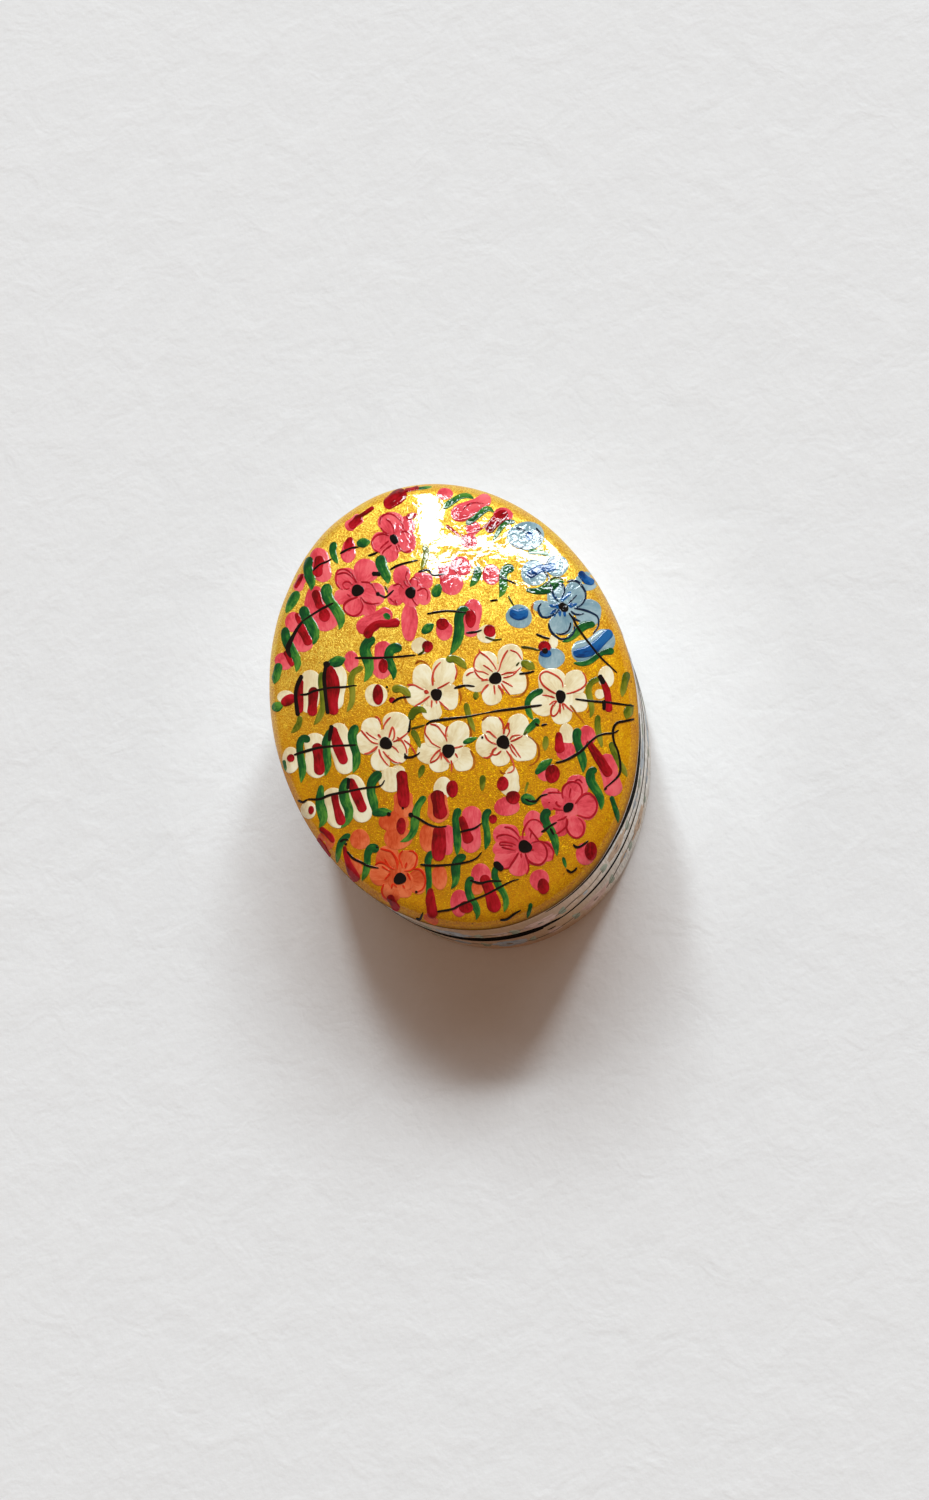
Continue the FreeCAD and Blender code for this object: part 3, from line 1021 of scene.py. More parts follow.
# Fine lines
black_lines_px = [
    (1.1, (340, 554), (345, 551), (352, 548), (359, 547)),
    (1.1, (313, 571), (320, 565), (327, 562), (332, 559)),
    (1.2, (334, 603), (322, 609), (312, 615), (303, 621)),
    ((1.2, 1.6, 2.6, 1.4), (303, 621), (296, 631), (290, 643), (288, 650), (291, 658)),
    (1.2, (368, 556), (374, 554), (378, 552)), (1.1, (390, 570), (397, 566), (406, 563), (418, 560)),
    (1.1, (378, 594), (382, 596), (386, 597), (394, 590)), (1.1, (385, 586), (388, 593)),
    (1.1, (418, 572), (428, 570), (433, 575), (445, 574)),
    (1.1, (427, 614), (438, 612), (450, 611), (467, 613)), (1.2, (466, 633), (476, 632), (482, 630)),
    (1.0, (500, 577), (507, 580), (516, 584)), (1.0, (490, 601), (498, 600)),
    (1.2, (544, 572), (548, 576), (549, 581), (544, 586)), (1.3, (536, 634), (543, 637), (550, 639)),
    (1.2, (568.6, 613), (573, 619), (577.7, 628), (588.6, 643), (601, 658), (617, 673)),
    (1.2, (355, 658), (375, 658), (395, 657), (416, 655)),
    (1.2, (300, 695), (308, 694), (315, 691), (330, 688), (345, 687), (357, 685)),
    (1.2, (392, 703), (400, 698), (411, 697)),
    (1.3, (454, 688.5), (460, 686.5), (466, 685.5), (475, 686.5)),
    (1.2, (519, 674), (527, 673), (535, 671)), (1.2, (407, 732), (409, 731), (410, 724), (410.5, 719)),
    ((0.9, 1.3, 1.0, 0.5, 1.2, 1.3, 1.0), (426, 725), (431, 721.5), (440, 720), (456, 718), (466, 717),
     (478, 714.5), (488, 712.5), (500, 710.5), (520, 708), (542, 705)),
    (1.2, (575, 699), (590, 701), (604, 702), (620, 704), (634, 706)), (1.2, (541, 725.5), (547.5, 724)),
    (1.2, (535, 723.5), (539.5, 726)), (1.2, (405, 753), (406, 757), (412, 757), (418, 754), (420, 752)),
    (1.4, (294, 755), (303, 752), (318, 748), (335, 746), (357, 745)),
    (1.2, (298, 800), (303, 802), (308, 799)),
    (1.3, (308, 799), (320, 799), (330, 795), (350, 791), (365, 788), (380, 786), (385, 780)),
    (1.2, (340, 842), (344, 839.5), (349, 840)),
    (1.3, (347, 851), (353, 858), (361, 862), (369, 866), (379, 868)),
    (1.2, (411, 815), (418, 818), (428, 824), (438, 827), (447, 826)),
    (1.2, (420, 864.5), (432, 865.5), (445, 865), (462, 863), (475, 859), (482, 852)),
    (1.2, (460, 832), (468, 830), (475, 828), (482, 823)),
    (1.3, (470, 880), (480, 883), (490, 881), (502, 881)),
    (1.2, (437, 911.5), (452, 909), (460, 905), (475, 899), (487, 894), (500, 887), (512, 881), (519, 879)),
    (1.2, (416, 918), (420, 919), (423, 912)), (1.3, (541, 832), (545, 830), (550, 826), (557, 822)),
    (1.3, (550, 828), (554, 835)), (1.3, (525, 799), (530, 801), (536, 801), (541, 796), (548, 794)),
    (1.3, (573, 844), (576, 847), (581, 846), (588.6, 840.5)),
    (1.2, (500, 920), (507, 919), (514, 914), (521, 910)),
    (1.4, (555, 763), (566, 760), (580, 752), (588, 744), (596, 737), (604, 734), (613, 733), (619, 730)),
    (1.3, (634, 719), (625, 721), (617, 723), (613, 730), (614, 742), (618, 752), (620, 765), (618, 776),
     (604, 789)), (1.0, (376, 847), (379, 847)), (1.2, (566, 869), (570.5, 872), (574, 870.5), (577, 867)),
    (1.0, (604, 790), (607, 788)),
]
olive_lines_px = [
    (1.2, (521, 647), (530, 648), (540, 650.5)), (1.0, (508, 596), (512, 603), (514, 606)),
    (1.1, (550, 580), (554, 577.5), (559.5, 577.5), (563, 580)), (1.2, (524, 735), (527, 731)),
    (1.2, (418, 655), (423, 652), (424, 647)), (1.1, (411, 729), (418, 727), (425, 725)),
    (1.0, (516, 666), (519.5, 662)), (1.0, (485, 637), (494, 640), (502, 639)),
]

# Flowers: the heart's radius and points, petals as left, right, top and bottom, and their drawn lines
pink_flowers_px = [
    {
        "heart": (5.2, (391, 541.5), (397.5, 537.5)),
        "petals": [
            (378, 404, 512, 534), (371, 392, 532, 553), (380, 399, 544, 562), (397, 416, 532, 553),
            (398, 415, 516, 536),
        ],
        "lines": [
            (1.0, (380, 525), (381, 518), (386, 514), (391, 514), (398, 518), (403, 525), (404, 531)),
            (1.0, (386, 519), (391, 523), (394, 530), (394, 534)),
            (1.0, (381, 528), (384, 532), (389, 534)),
            (1.0, (389, 536), (383, 534), (376, 536), (372, 542), (374, 549), (380, 553)),
            (0.9, (389, 541), (384, 545), (380, 549)), (0.9, (392, 545), (384, 551), (382, 556)),
            (0.9, (396, 545), (398, 552), (397, 556)),
            (1.0, (398, 544), (401, 550), (406, 552), (412, 550)),
            (1.0, (400, 532), (408, 532), (412, 537)), (3.5, (406, 518), (417, 514)),
        ],
    },
    {
        "heart": (6, (357.7, 590.5)),
        "petals": [
            (335, 358, 568, 591), (353, 378, 559, 584), (361, 385, 582, 607), (344, 366, 597, 617),
            (334, 353, 589, 605), (360, 376, 600, 616),
        ],
        "lines": [
            (1.1, (357, 583), (352, 574), (345, 569.5), (338, 571), (336, 578), (338, 586), (343, 590)),
            (0.9, (336, 575), (345, 573), (352, 577), (356, 583)),
            (0.9, (353, 585), (349, 582), (345, 582), (343, 585), (346, 589), (350, 588)),
            (0.9, (361, 582), (370, 583), (375, 589), (377, 596)),
            (0.9, (361, 597), (365, 602), (372, 604), (380, 603)),
            (1.1, (358, 597), (350, 600), (345, 604), (344, 609), (348, 614), (354, 616), (360, 613),
             (363, 606), (360, 597)), (0.9, (351, 597), (347, 594)),
        ],
    },
    {
        "heart": (5.5, (410.7, 592.7)),
        "petals": [
            (393, 411, 565, 587), (412, 433, 572, 590), (416, 431, 587, 605), (387, 406, 584, 606),
            (401, 418, 597, 641),
        ],
        "lines": [
            (1.0, (404, 580), (406, 585), (409, 587)), (0.9, (408, 570), (406, 577), (409, 583)),
            (0.9, (410, 586), (411, 580), (415, 577), (418, 581), (417, 587)),
            (1.0, (417, 591), (424, 588), (428, 593), (427, 600)),
            (0.9, (412, 598), (415, 603), (418, 606)), (0.9, (393, 586), (399, 584), (404, 589)),
            (0.9, (389, 598), (394, 602), (397, 606)), (0.9, (395, 600), (398, 606)),
        ],
    },
    {
        "heart": ((7, 6.2), (525, 846.5)),
        "petals": [
            (523, 544, 811, 842), (493, 521, 824, 846), (493, 519, 840, 858), (494, 519, 850, 869),
            (508, 529, 854, 876), (525, 548, 841, 866), (538, 554, 841, 862),
        ],
        "lines": [
            (1.0, (522.7, 838), (523, 832), (526, 825), (530.5, 820), (536, 819.5), (540, 822), (543, 826)),
            (1.0, (528.6, 827.7), (532, 832), (536, 837), (539.5, 841.4)),
            (0.9, (532, 830.5), (531, 834), (530, 838.6)),
            (1.1, (504, 827), (509.5, 827.7), (515, 831.4), (520.5, 838.6)),
            (1.0, (497, 838.6), (497.7, 836), (505, 834.5), (511.4, 836), (516, 838.6), (518.6, 841.4)),
            (1.0, (499.5, 845), (500.5, 842.3), (506.8, 842.3), (512, 843.2), (516, 845)),
            (0.9, (499.5, 845), (506, 845), (513, 846)), (0.9, (501.4, 847), (507.7, 848.6), (515, 850)),
            (1.2, (518.6, 852.3), (516, 857), (511.4, 864), (508.6, 867.7), (503, 868.6)),
            (1.1, (525, 853), (527.7, 859.5), (533, 863.6), (539.5, 864.5), (544, 861.4), (547, 855),
             (546, 847.7), (542, 842.3), (538.6, 841), (533, 842.3), (531, 843.6)),
            (1.0, (540, 841), (547, 843), (551, 847), (553.6, 852), (552, 860.5)),
            (1.2, (521, 853), (521.5, 858)), (1.0, (526.4, 856), (528.6, 864), (528.6, 869.5), (526, 875)),
            (1.0, (530, 849), (534, 850)),
        ],
    },
    {
        "heart": (5.7, (565.5, 804), (571, 810.5)),
        "petals": [
            (562, 583, 781, 803), (566, 588, 775, 797), (575, 598, 793, 820), (566, 586, 815, 838),
            (547, 569, 813, 837), (541, 564, 788, 811),
        ],
        "lines": [
            (1.1, (563, 798.6), (562, 792), (564, 786), (569.5, 782), (575, 782), (579.5, 784.5),
             (582, 790.5), (581, 796), (577, 801), (575, 804)),
            (0.9, (574.5, 781.4), (578.6, 779.5), (582.7, 783.2)),
            (0.8, (571, 788), (569.5, 795), (570, 798)),
            (1.2, (575, 804), (580.5, 797), (586, 793.6), (590.5, 794), (595, 798.6), (597, 805),
             (595.5, 812), (591, 817), (586, 817.7), (580.5, 816), (577, 815)),
            (1.1, (567, 818), (566.4, 824), (567, 829.5), (570.5, 835), (575, 837.7), (579.5, 837),
             (583, 833), (584, 827), (581.4, 820.5), (577.7, 817.7)),
            (1.0, (566.8, 816), (563, 818.6), (557, 820.5)),
            (1.0, (567.7, 819.5), (567, 825), (563, 829.5), (558, 833), (555, 833)),
            (1.0, (547.7, 793), (554, 792.3), (562, 793.2)), (1.0, (553, 808), (557.7, 809.5), (563, 810)),
            (1.2, (557, 801), (556.5, 804), (561, 807)), (1.0, (558, 789), (559, 793)),
            (1.0, (549, 802), (549.5, 803)),
        ],
    },
]
orange_flowers_px = [
    {
        "heart": ((6.2, 5.8), (400, 878.6)),
        "petals": [
            (376, 400, 846, 871), (398, 418, 850, 872), (407, 427, 868, 894), (396, 412, 884, 898),
            (381, 402, 882, 902), (370, 394, 864, 886),
        ],
        "lines": [
            (1.1, (380.5, 848.6), (386, 850), (391.4, 852), (395, 856), (397.7, 860.5), (398.6, 865)),
            (1.2, (391.4, 852), (395, 857), (397, 863), (397.7, 869.5)),
            (0.9, (403, 850.5), (400, 854), (399.5, 858.6), (402, 865), (402, 868.6)),
            (1.0, (408.6, 851), (413, 851.4), (417, 856), (416.4, 861.4), (414, 867.7), (409.5, 870.5),
             (404, 871)), (1.2, (407, 862.3), (405, 868.6)),
            (1.0, (375, 865), (379.5, 862.3), (384, 863), (389.5, 867), (395, 869.5)),
            (0.9, (382, 866), (386, 869), (391, 871.4)), (0.9, (384.5, 858.6), (387.7, 864), (391, 867.7)),
            (1.0, (390.5, 873), (384.5, 880)), (1.0, (384, 884), (382, 889.5), (383, 895), (387, 899.5)),
            (1.0, (391.4, 888.6), (393, 884), (397, 887)),
            (1.0, (414, 869), (419.5, 869.5), (424, 875), (425.5, 881.4), (423, 888.6), (417, 892)),
            (1.1, (407, 873), (409.5, 877.7), (410.5, 880.5)), (1.1, (402.7, 885), (405, 888.6)),
        ],
    },
]
cream_flowers_px = [
    {
        "heart": ((6, 5.7), (436.5, 694.5)),
        "petals": [
            (412.5, 433, 664.5, 690), (432, 456, 658, 690), (440, 458.5, 684, 710), (422, 442, 698, 720.5),
            (406, 430, 685, 706),
        ],
        "lines": [
            (1.2, (433, 686), (432.5, 678), (434, 671), (437, 666), (441, 662)),
            (1.0, (437, 689), (443, 686), (450, 682)), (0.9, (455, 680), (457, 672), (455, 665)),
            (1.0, (407, 685), (414, 685), (420, 688), (424, 690)), (2.2, (424, 691), (429, 693)),
            (1.1, (430, 696), (425, 700), (419, 704), (414, 707)), (1.0, (432, 700), (431.5, 708)),
            (1.0, (436, 700), (437, 704)), (1.0, (439, 701), (444, 706), (449, 710)),
        ],
    },
    {
        "heart": (6.2, (386, 743.3)),
        "petals": [
            (361, 382, 718, 742), (382, 410, 712, 741), (356, 381, 729, 755), (371, 390, 749, 771),
            (388, 408, 740, 764), (401, 410, 735, 750),
        ],
        "lines": [
            (1.0, (375, 716), (379, 719), (381.5, 725)),
            (1.0, (391, 717), (387, 721), (384, 726), (383, 730)),
            (1.0, (361, 730), (366, 736), (372, 742), (379, 744)),
            (0.9, (366, 732), (371, 736), (378, 740)),
            (1.4, (378, 746), (374, 750), (369, 753), (364, 754)),
            (1.0, (379, 749), (381, 756), (386, 763), (389, 766)),
            (1.0, (383, 751), (388, 757), (395, 762), (402, 763)), (1.4, (378, 734), (381, 738)),
            (1.1, (389, 738), (391, 731), (392.5, 727), (394.5, 732), (394, 738), (392, 741)),
            (1.0, (393, 742), (399, 739.5), (404, 736), (409, 732)),
            (1.0, (397, 737), (402, 741), (406, 748), (407, 754)),
            (1.0, (404, 740), (410, 745), (414, 751), (416, 755)),
            (0.9, (392, 746), (396, 749), (399, 753)),
        ],
    },
    {
        "heart": ((6, 7.3), (448.4, 750.7)),
        "petals": [
            (424, 448, 723, 749), (447, 469.5, 721, 749), (452, 473, 746, 771.5), (429, 450, 755, 772),
            (417, 441, 742, 764),
        ],
        "lines": [
            (1.0, (430, 724), (437, 726), (442, 732), (446, 738), (447, 742)),
            (0.9, (426, 725), (425, 733), (429, 739), (432, 743), (437, 746), (441, 748)),
            (1.0, (448, 726), (446, 731), (446, 738)), (1.0, (454, 748), (459, 747), (463, 745.5)),
            (1.0, (455, 753), (458, 758)), (1.0, (441, 749), (436, 753), (432, 758), (430, 762)),
            (1.0, (430, 763), (436, 760), (440, 755), (440, 750)), (1.0, (442, 752), (441, 760)),
            (1.4, (443, 754), (447, 760), (450, 763)), (1.0, (451, 760), (452, 766), (451, 772)),
        ],
    },
    {
        "heart": ((6.4, 5.8), (495.5, 678.4)),
        "petals": [
            (474, 498, 651, 678), (497, 523, 644, 676), (500, 526.5, 669, 695), (482, 502, 685, 705),
            (463, 491, 667, 692),
        ],
        "lines": [
            (1.0, (479, 649), (480, 652), (487, 657), (493, 664), (496.5, 670)),
            (0.9, (480, 652), (475, 659), (474, 667), (477, 671), (483, 672), (489, 675)),
            (0.9, (483, 665), (488, 668), (493, 672)),
            (1.0, (508, 650), (504, 656), (501, 663), (499, 670), (497, 672)),
            (0.9, (510, 650), (517, 653), (522, 660)),
            (1.0, (501, 675), (507, 673), (515, 672), (521, 667)),
            (0.9, (503, 678), (511, 676), (517, 672)), (1.0, (502, 681), (508, 684), (513, 687)),
            (1.0, (501, 683), (505, 689), (510, 695)), (1.4, (498, 685), (502, 691), (503, 695)),
            (1.0, (494, 685), (495, 695)), (1.2, (489, 684), (484, 689), (481, 694)),
            (1.0, (488, 679), (481, 681)), (1.0, (474, 670), (478, 676), (484, 680), (489, 680)),
            (1.0, (466, 676), (470, 673), (474, 672)),
        ],
    },
    {
        "heart": ((5.2, 6.4), (560.6, 696.5)),
        "petals": [
            (538, 566, 668, 697), (564, 586, 670, 695), (568, 587.5, 691, 712.5), (551, 572, 703, 724),
            (531, 556, 691, 716),
        ],
        "lines": [
            (1.1, (556, 694), (549, 690), (543, 685), (540, 679), (541, 674), (546, 671.5), (551, 673),
             (558, 677), (562, 682), (563, 688)),
            (1.0, (566, 694), (574, 692), (582, 688), (586, 683), (585, 676), (582, 672)),
            (1.0, (555, 698), (549, 696), (542, 695)), (1.0, (557, 701), (553, 702), (549, 705)),
            (1.1, (557, 701), (552, 707), (551, 714), (554, 716), (558, 712), (560, 705)),
            (1.2, (560, 703), (560, 714)), (1.0, (562, 703), (564, 710)),
            (1.0, (563, 703), (568, 708), (573, 712)),
        ],
    },
    {
        "heart": ((6.3, 7), (503.2, 742.1)),
        "petals": [
            (481.5, 503, 716.5, 738), (507, 529, 714, 740), (508, 536.5, 735, 761.5),
            (490.5, 510, 749, 766), (476, 498, 734, 758),
        ],
        "lines": [
            (1.0, (498.6, 717), (502, 721.6), (503.6, 728), (503.2, 734.4)),
            (1.0, (504, 734.4), (504.5, 730), (506.8, 725.3), (508.6, 722.5), (508.6, 728),
             (509.5, 731.6), (506, 738)), (1.0, (484.5, 734), (487, 739), (491.4, 742.5), (497, 744.4)),
            (1.1, (486, 732), (489, 731.6), (493, 735.3), (497, 738.5)),
            (1.2, (497, 747), (493, 750.7), (491.4, 755), (487, 757.8), (483, 757)),
            (1.0, (501.4, 750.7), (499, 753), (495.5, 755), (489.5, 753.5)),
            (1.1, (510.5, 741.6), (516, 739.4), (520.5, 737), (523, 735.3)),
            (0.9, (509.5, 740), (513, 736), (520.5, 735)),
            (1.0, (510.5, 743.5), (514, 748), (517.7, 753.5), (521, 758)),
            (0.9, (509.5, 745), (512, 750.7), (517, 757)),
            (1.0, (506, 750), (509.5, 755), (512, 760), (513.6, 765), (514, 769), (511, 772), (507, 773)),
        ],
    },
]
# Brown arcs beside the petals
brown_arcs_px = [
    (1.2, (415, 664), (420, 661), (426, 663), (430, 668)), (1.2, (468, 722), (471, 732), (470, 740)),
    (1.3, (470, 750), (474, 758), (474, 766), (470, 771)),
    (1.2, (526, 672), (528, 682), (526, 690), (520, 696), (511, 697)),
    (1.3, (527, 736), (533, 740), (538, 746), (539, 753), (537.7, 759), (534, 763.5), (528.6, 766)),
    (1.2, (482, 721), (486, 717), (491, 715)), (1.1, (459, 690), (461, 698), (459, 706)),
    (1.1, (588, 700), (590, 708), (586, 714)), (1.1, (406, 688), (404, 696), (407, 704)),
    (1.1, (355, 736), (354, 744), (357, 752)), (1.1, (372, 770), (379, 774), (387, 771)),
    (1.1, (570, 705), (580, 718), (585, 724)), (1.1, (500, 770), (502, 773), (508, 774)),
    (1.1, (535, 602.5), (532.5, 606), (532, 611), (535, 616)),
]
# The blue flower, with the streaks and lines round it
blue_flowers_px = [
    {
        "heart": (3.8, (559, 603.5), (567.5, 611)),
        "petals": [
            (553, 566, 583, 602), (564, 586, 581, 609), (574, 601, 598.5, 627), (549, 574, 612, 635),
            (538.5, 555, 601, 618), (547, 558, 590, 604), (533, 548, 600, 612),
        ],
        "lines": [
            (1.2, (550.5, 584), (551.4, 590), (555, 597.5), (558.6, 602)),
            (1.1, (558, 583.5), (560.5, 583.8), (563, 585.6), (564.5, 590), (562.7, 595.6), (561.4, 599)),
            (1.2, (566.8, 582), (572, 580.6), (577.7, 582), (582, 586.5), (585.5, 593), (584.5, 600),
             (580.5, 605.6), (574, 608.4)),
            (1.1, (574, 608.4), (583, 610), (591.4, 613), (597, 616.5), (598.6, 622), (597, 628.4),
             (592.7, 634)), (1.1, (570.5, 611), (574, 614), (578.6, 614.7), (584, 613.8)),
            (1.1, (572, 616.5), (576, 620), (580.5, 621.5)),
            (1.2, (548.6, 623), (549, 626.5), (551.4, 632), (556, 636.5), (561.4, 639.3), (567.7, 638),
             (572, 634.7), (574.5, 630), (574, 625.6)),
            (1.1, (570.5, 622.5), (570, 626.5), (567.7, 631), (564, 633.4), (559.5, 634.3), (556, 633)),
            (1.3, (541.4, 603.4), (538.6, 607), (539, 612), (542, 616.5), (547, 617.5), (552, 615.6),
             (557, 612), (559.5, 608.4)), (0.9, (568, 604), (573, 599), (577, 595)),
        ],
    },
]
blue_streaks_px = [
    (1.8, (562, 600), (567, 596), (571, 591.5)), (1.7, (557, 600), (554, 596), (552, 593)),
    (1.8, (570.5, 606), (577, 604)), (1.8, (557, 606), (552, 606), (549, 605)),
    (1.7, (559.5, 610), (560, 617)), (1.7, (564, 611), (565, 617)),
    (1.6, (556, 609), (553, 612), (550, 614)), (2.4, (563, 597), (562, 602)), (2.6, (569, 603), (572, 608)),
    (2.2, (556, 604), (558, 609)), (1.5, (555, 612), (554.5, 617)),
]
navy_lines_px = [
    (1.1, (516, 528), (524, 531), (529, 536)), (1.1, (536, 528), (541, 536), (537, 544)),
    (1.0, (547, 565), (549, 561), (555, 558)), (1.1, (545, 571), (549, 578)),
    (1.0, (512, 545), (520, 548), (527, 545)),
]
# Red lines beside the flowers at the highlight
red_lines_px = [
    (0.8, (463, 510), (468, 505), (475, 503), (484, 504)), (1.0, (474, 531), (481, 529), (488, 523)),
    (1.3, (461, 534), (466, 541), (470, 545), (473, 538), (476, 533)),
    (1.6, (446, 525), (455, 532), (460, 537)), (1.0, (450, 565), (454, 569), (458, 575)),
    (1.0, (462, 560), (460, 567), (462, 573)), (1.0, (438, 566), (442, 575), (440, 584)),
]

# The shared middle that joins the petals of a flower
flower_middle_px = 13


def paint_flowers(flowers, petals, lines, hearts):
    """Petals and their shared middle, then their drawn lines, then the dark heart."""
    for flower in flowers:
        middle = np.mean(flower["heart"][1:], axis=0)
        petals.round(flower_middle_px, middle, wobble=0.2)
        for box in flower["petals"]:
            petals.petal(*box, middle)
        for line in flower["lines"]:
            lines.line(*line)
        if len(flower["heart"]) == 2:
            hearts.round(*flower["heart"], wobble=0.12)
        else:
            hearts.stroke(*flower["heart"])


def paint_dome():
    """The flowers, buds, leaves and lines on the gilding."""
    coats = {}

    def coat(name, level, rise, deep, body, light):
        material = paint(name, shade(*deep), shade(*body), shade(*light))
        coats[name] = Paint(name, dome_canvas, "lid", "gold_lacquer", material, level, rise)
        return coats[name]

    cream = coat("cream_petals", 0.020, 0.014, (226, 206, 160), (240, 226, 184), (248, 240, 208))
    pink = coat("pink_petals", 0.020, 0.014, (205, 58, 70), (230, 80, 92), (240, 106, 112))
    orange = coat("orange_petals", 0.020, 0.014, (204, 74, 34), (222, 98, 54), (236, 122, 76))
    blue = coat("blue_petals", 0.020, 0.014, (112, 146, 160), (137, 166, 175), (160, 184, 190))
    green = coat("green_leaves", 0.052, 0.012, (4, 66, 32), (22, 96, 38), (84, 142, 50))
    olive = coat("olive_leaves", 0.052, 0.012, (70, 88, 14), (112, 118, 24), (140, 140, 44))
    crimson = coat("crimson_buds", 0.084, 0.014, (104, 2, 8), (156, 6, 20), (186, 20, 38))
    deep_blue = coat("deep_blue_buds", 0.084, 0.014, (4, 48, 100), (8, 82, 148), (28, 100, 160))
    crimson_lines = coat("crimson_lines", 0.084, 0.008, (150, 10, 26), (176, 18, 38), (196, 36, 52))
    red_lines = coat("orange_red_lines", 0.084, 0.008, (176, 44, 30), (200, 66, 48), (214, 92, 70))
    flame_lines = coat("flame_lines", 0.084, 0.008, (196, 30, 6), (216, 44, 14), (228, 66, 30))
    navy = coat("navy_lines", 0.100, 0.008, (2, 16, 34), (6, 34, 60), (14, 52, 84))
    brown = coat("brown_arcs", 0.020, 0.006, (134, 66, 8), (168, 88, 16), (186, 110, 30))
    dark_olive = coat("dark_olive_lines", 0.108, 0.008, (40, 44, 6), (64, 66, 14), (84, 84, 24))
    black = coat("black_lines", 0.110, 0.010, (5, 4, 4), (12, 9, 8), (26, 20, 16))
    hearts = coat("black_hearts", 0.125, 0.020, (3, 3, 4), (8, 7, 8), (16, 15, 16))

    for buds, entries in (
        (cream, cream_buds_px), (pink, pink_buds_px), (orange, orange_buds_px), (blue, blue_buds_px),
        (crimson, crimson_cores_px), (deep_blue, deep_blue_cores_px), (hearts, black_dabs_px),
    ):
        for entry in entries:
            buds.dab(*entry)
    for leaves, entries in ((green, green_leaves_px), (olive, olive_leaves_px)):
        for entry in entries:
            leaves.leaf(*entry)
    for lines, entries in (
        (black, black_lines_px), (dark_olive, olive_lines_px), (brown, brown_arcs_px),
        (navy, navy_lines_px), (crimson_lines, red_lines_px), (deep_blue, blue_streaks_px),
    ):
        for entry in entries:
            lines.line(*entry)
    paint_flowers(pink_flowers_px, pink, crimson_lines, hearts)
    paint_flowers(orange_flowers_px, orange, flame_lines, hearts)
    paint_flowers(cream_flowers_px, cream, red_lines, hearts)
    paint_flowers(blue_flowers_px, blue, navy, hearts)
    for made in coats.values():
        made.make()


# The border round the sides, in millimetres


hand = np.random.default_rng(5)

# How strong the clear lacquer is on the sides and on their black lines, and how far silver shows
# through the border's washes
side_lacquer = 0.15
ink_lacquer = 0.03
border_metal = 0.6

border_flowers = 13
border_petals = 5
border_spacing = side_length / border_flowers
border_starts = {"lid": 0, "base": 0.5}
border_heights = {"lid": 21.8, "base": 8.4}
border_level = 0.02
border_line_level = 0.06
border_rise = 0.012
stem_radii = (0.1, 0.16, 0.13, 0.08)
border_colours = {
    "slate": ((136, 148, 160), (160, 170, 178), (184, 190, 194)),
    "rose": ((192, 152, 138), (210, 176, 162), (224, 198, 184)),
    "rust": ((172, 136, 104), (194, 160, 126), (212, 184, 154)),
    "moss": ((128, 140, 118), (150, 160, 138), (174, 180, 160)),
    "umber": ((100, 86, 70), (126, 110, 92), (154, 138, 120)),
    "ink": ((6, 5, 4), (14, 11, 9), (30, 24, 20)),
}

# Black lines round the sides: turn of the oval in degrees, height and radius at each place
rim_lines = [
    [(344, 28.4, 0.2), (339, 27.9, 1.0), (333, 27.4, 1.6), (327, 27.1, 1.9), (321, 27.1, 1.9),
     (315, 27.6, 1.4), (309, 28.1, 0.95), (303, 28.5, 0.7), (296, 28.7, 0.5), (288, 28.8, 0.35),
     (280, 28.9, 0.2)],
    [(222, 28.8, 0.2), (208, 28.2, 0.5), (190, 27.6, 0.9), (174, 27.5, 1.0), (158, 28.0, 0.6),
     (146, 28.5, 0.25)],
    [(150, 28.0, 0.2), (132, 27.7, 0.7), (112, 27.4, 1.0), (92, 27.8, 0.8), (76, 28.3, 0.5),
     (64, 28.6, 0.2)],
    [(68, 28.2, 0.2), (52, 27.9, 0.7), (34, 27.4, 1.0), (18, 27.6, 0.7), (4, 28.0, 0.3)],
]
seam_lines = [
    [(332, 16.1, 0.2), (324, 16.2, 0.4), (310, 16.3, 0.5), (302, 16.4, 0.6), (294, 16.4, 0.6),
     (286, 16.3, 0.5), (278, 16.2, 0.4)],
    [(283, 16.6, 0.7), (279, 16.9, 1.4), (270, 17.0, 1.5), (260, 17.0, 1.4), (252, 16.9, 1.2),
     (245, 16.7, 0.95), (238, 16.5, 0.7), (230, 16.3, 0.3)],
    [(234, 16.4, 0.3), (214, 16.5, 0.5), (192, 16.9, 0.9), (172, 17.0, 1.0), (152, 16.6, 0.6),
     (140, 16.4, 0.3)],
    [(144, 16.6, 0.3), (120, 16.8, 0.8), (96, 16.7, 0.6), (72, 16.9, 0.9), (48, 16.6, 0.6),
     (36, 16.4, 0.25)],
    [(40, 16.5, 0.2), (22, 16.6, 0.5), (4, 16.5, 0.4), (-12, 16.4, 0.3), (-30, 16.4, 0.2)],
]
base_edge_lines = [
    [(276, 15.0, 0.2), (272, 14.7, 0.6), (266, 14.5, 0.8), (256, 14.5, 0.8), (247, 14.6, 0.7),
     (240, 14.8, 0.45), (232, 15.0, 0.15)],
    [(279.5, 11.2, 0.2), (278, 11.0, 0.4), (276.5, 11.2, 0.2)],
    [(200, 14.8, 0.2), (188, 14.7, 0.5), (174, 14.9, 0.2)],
    [(98, 14.9, 0.2), (90, 14.6, 0.5), (78, 14.8, 0.2)],
]


def side_lines(ink, lines):
    """Brushed lines round the side, through places given as turn, height and radius."""
    for line in lines:
        turns, heights, radii = np.array(line, float).T
        ink.stroke(radii, *np.stack([arc_at(turns), heights], axis=1), tips=(4, 4))


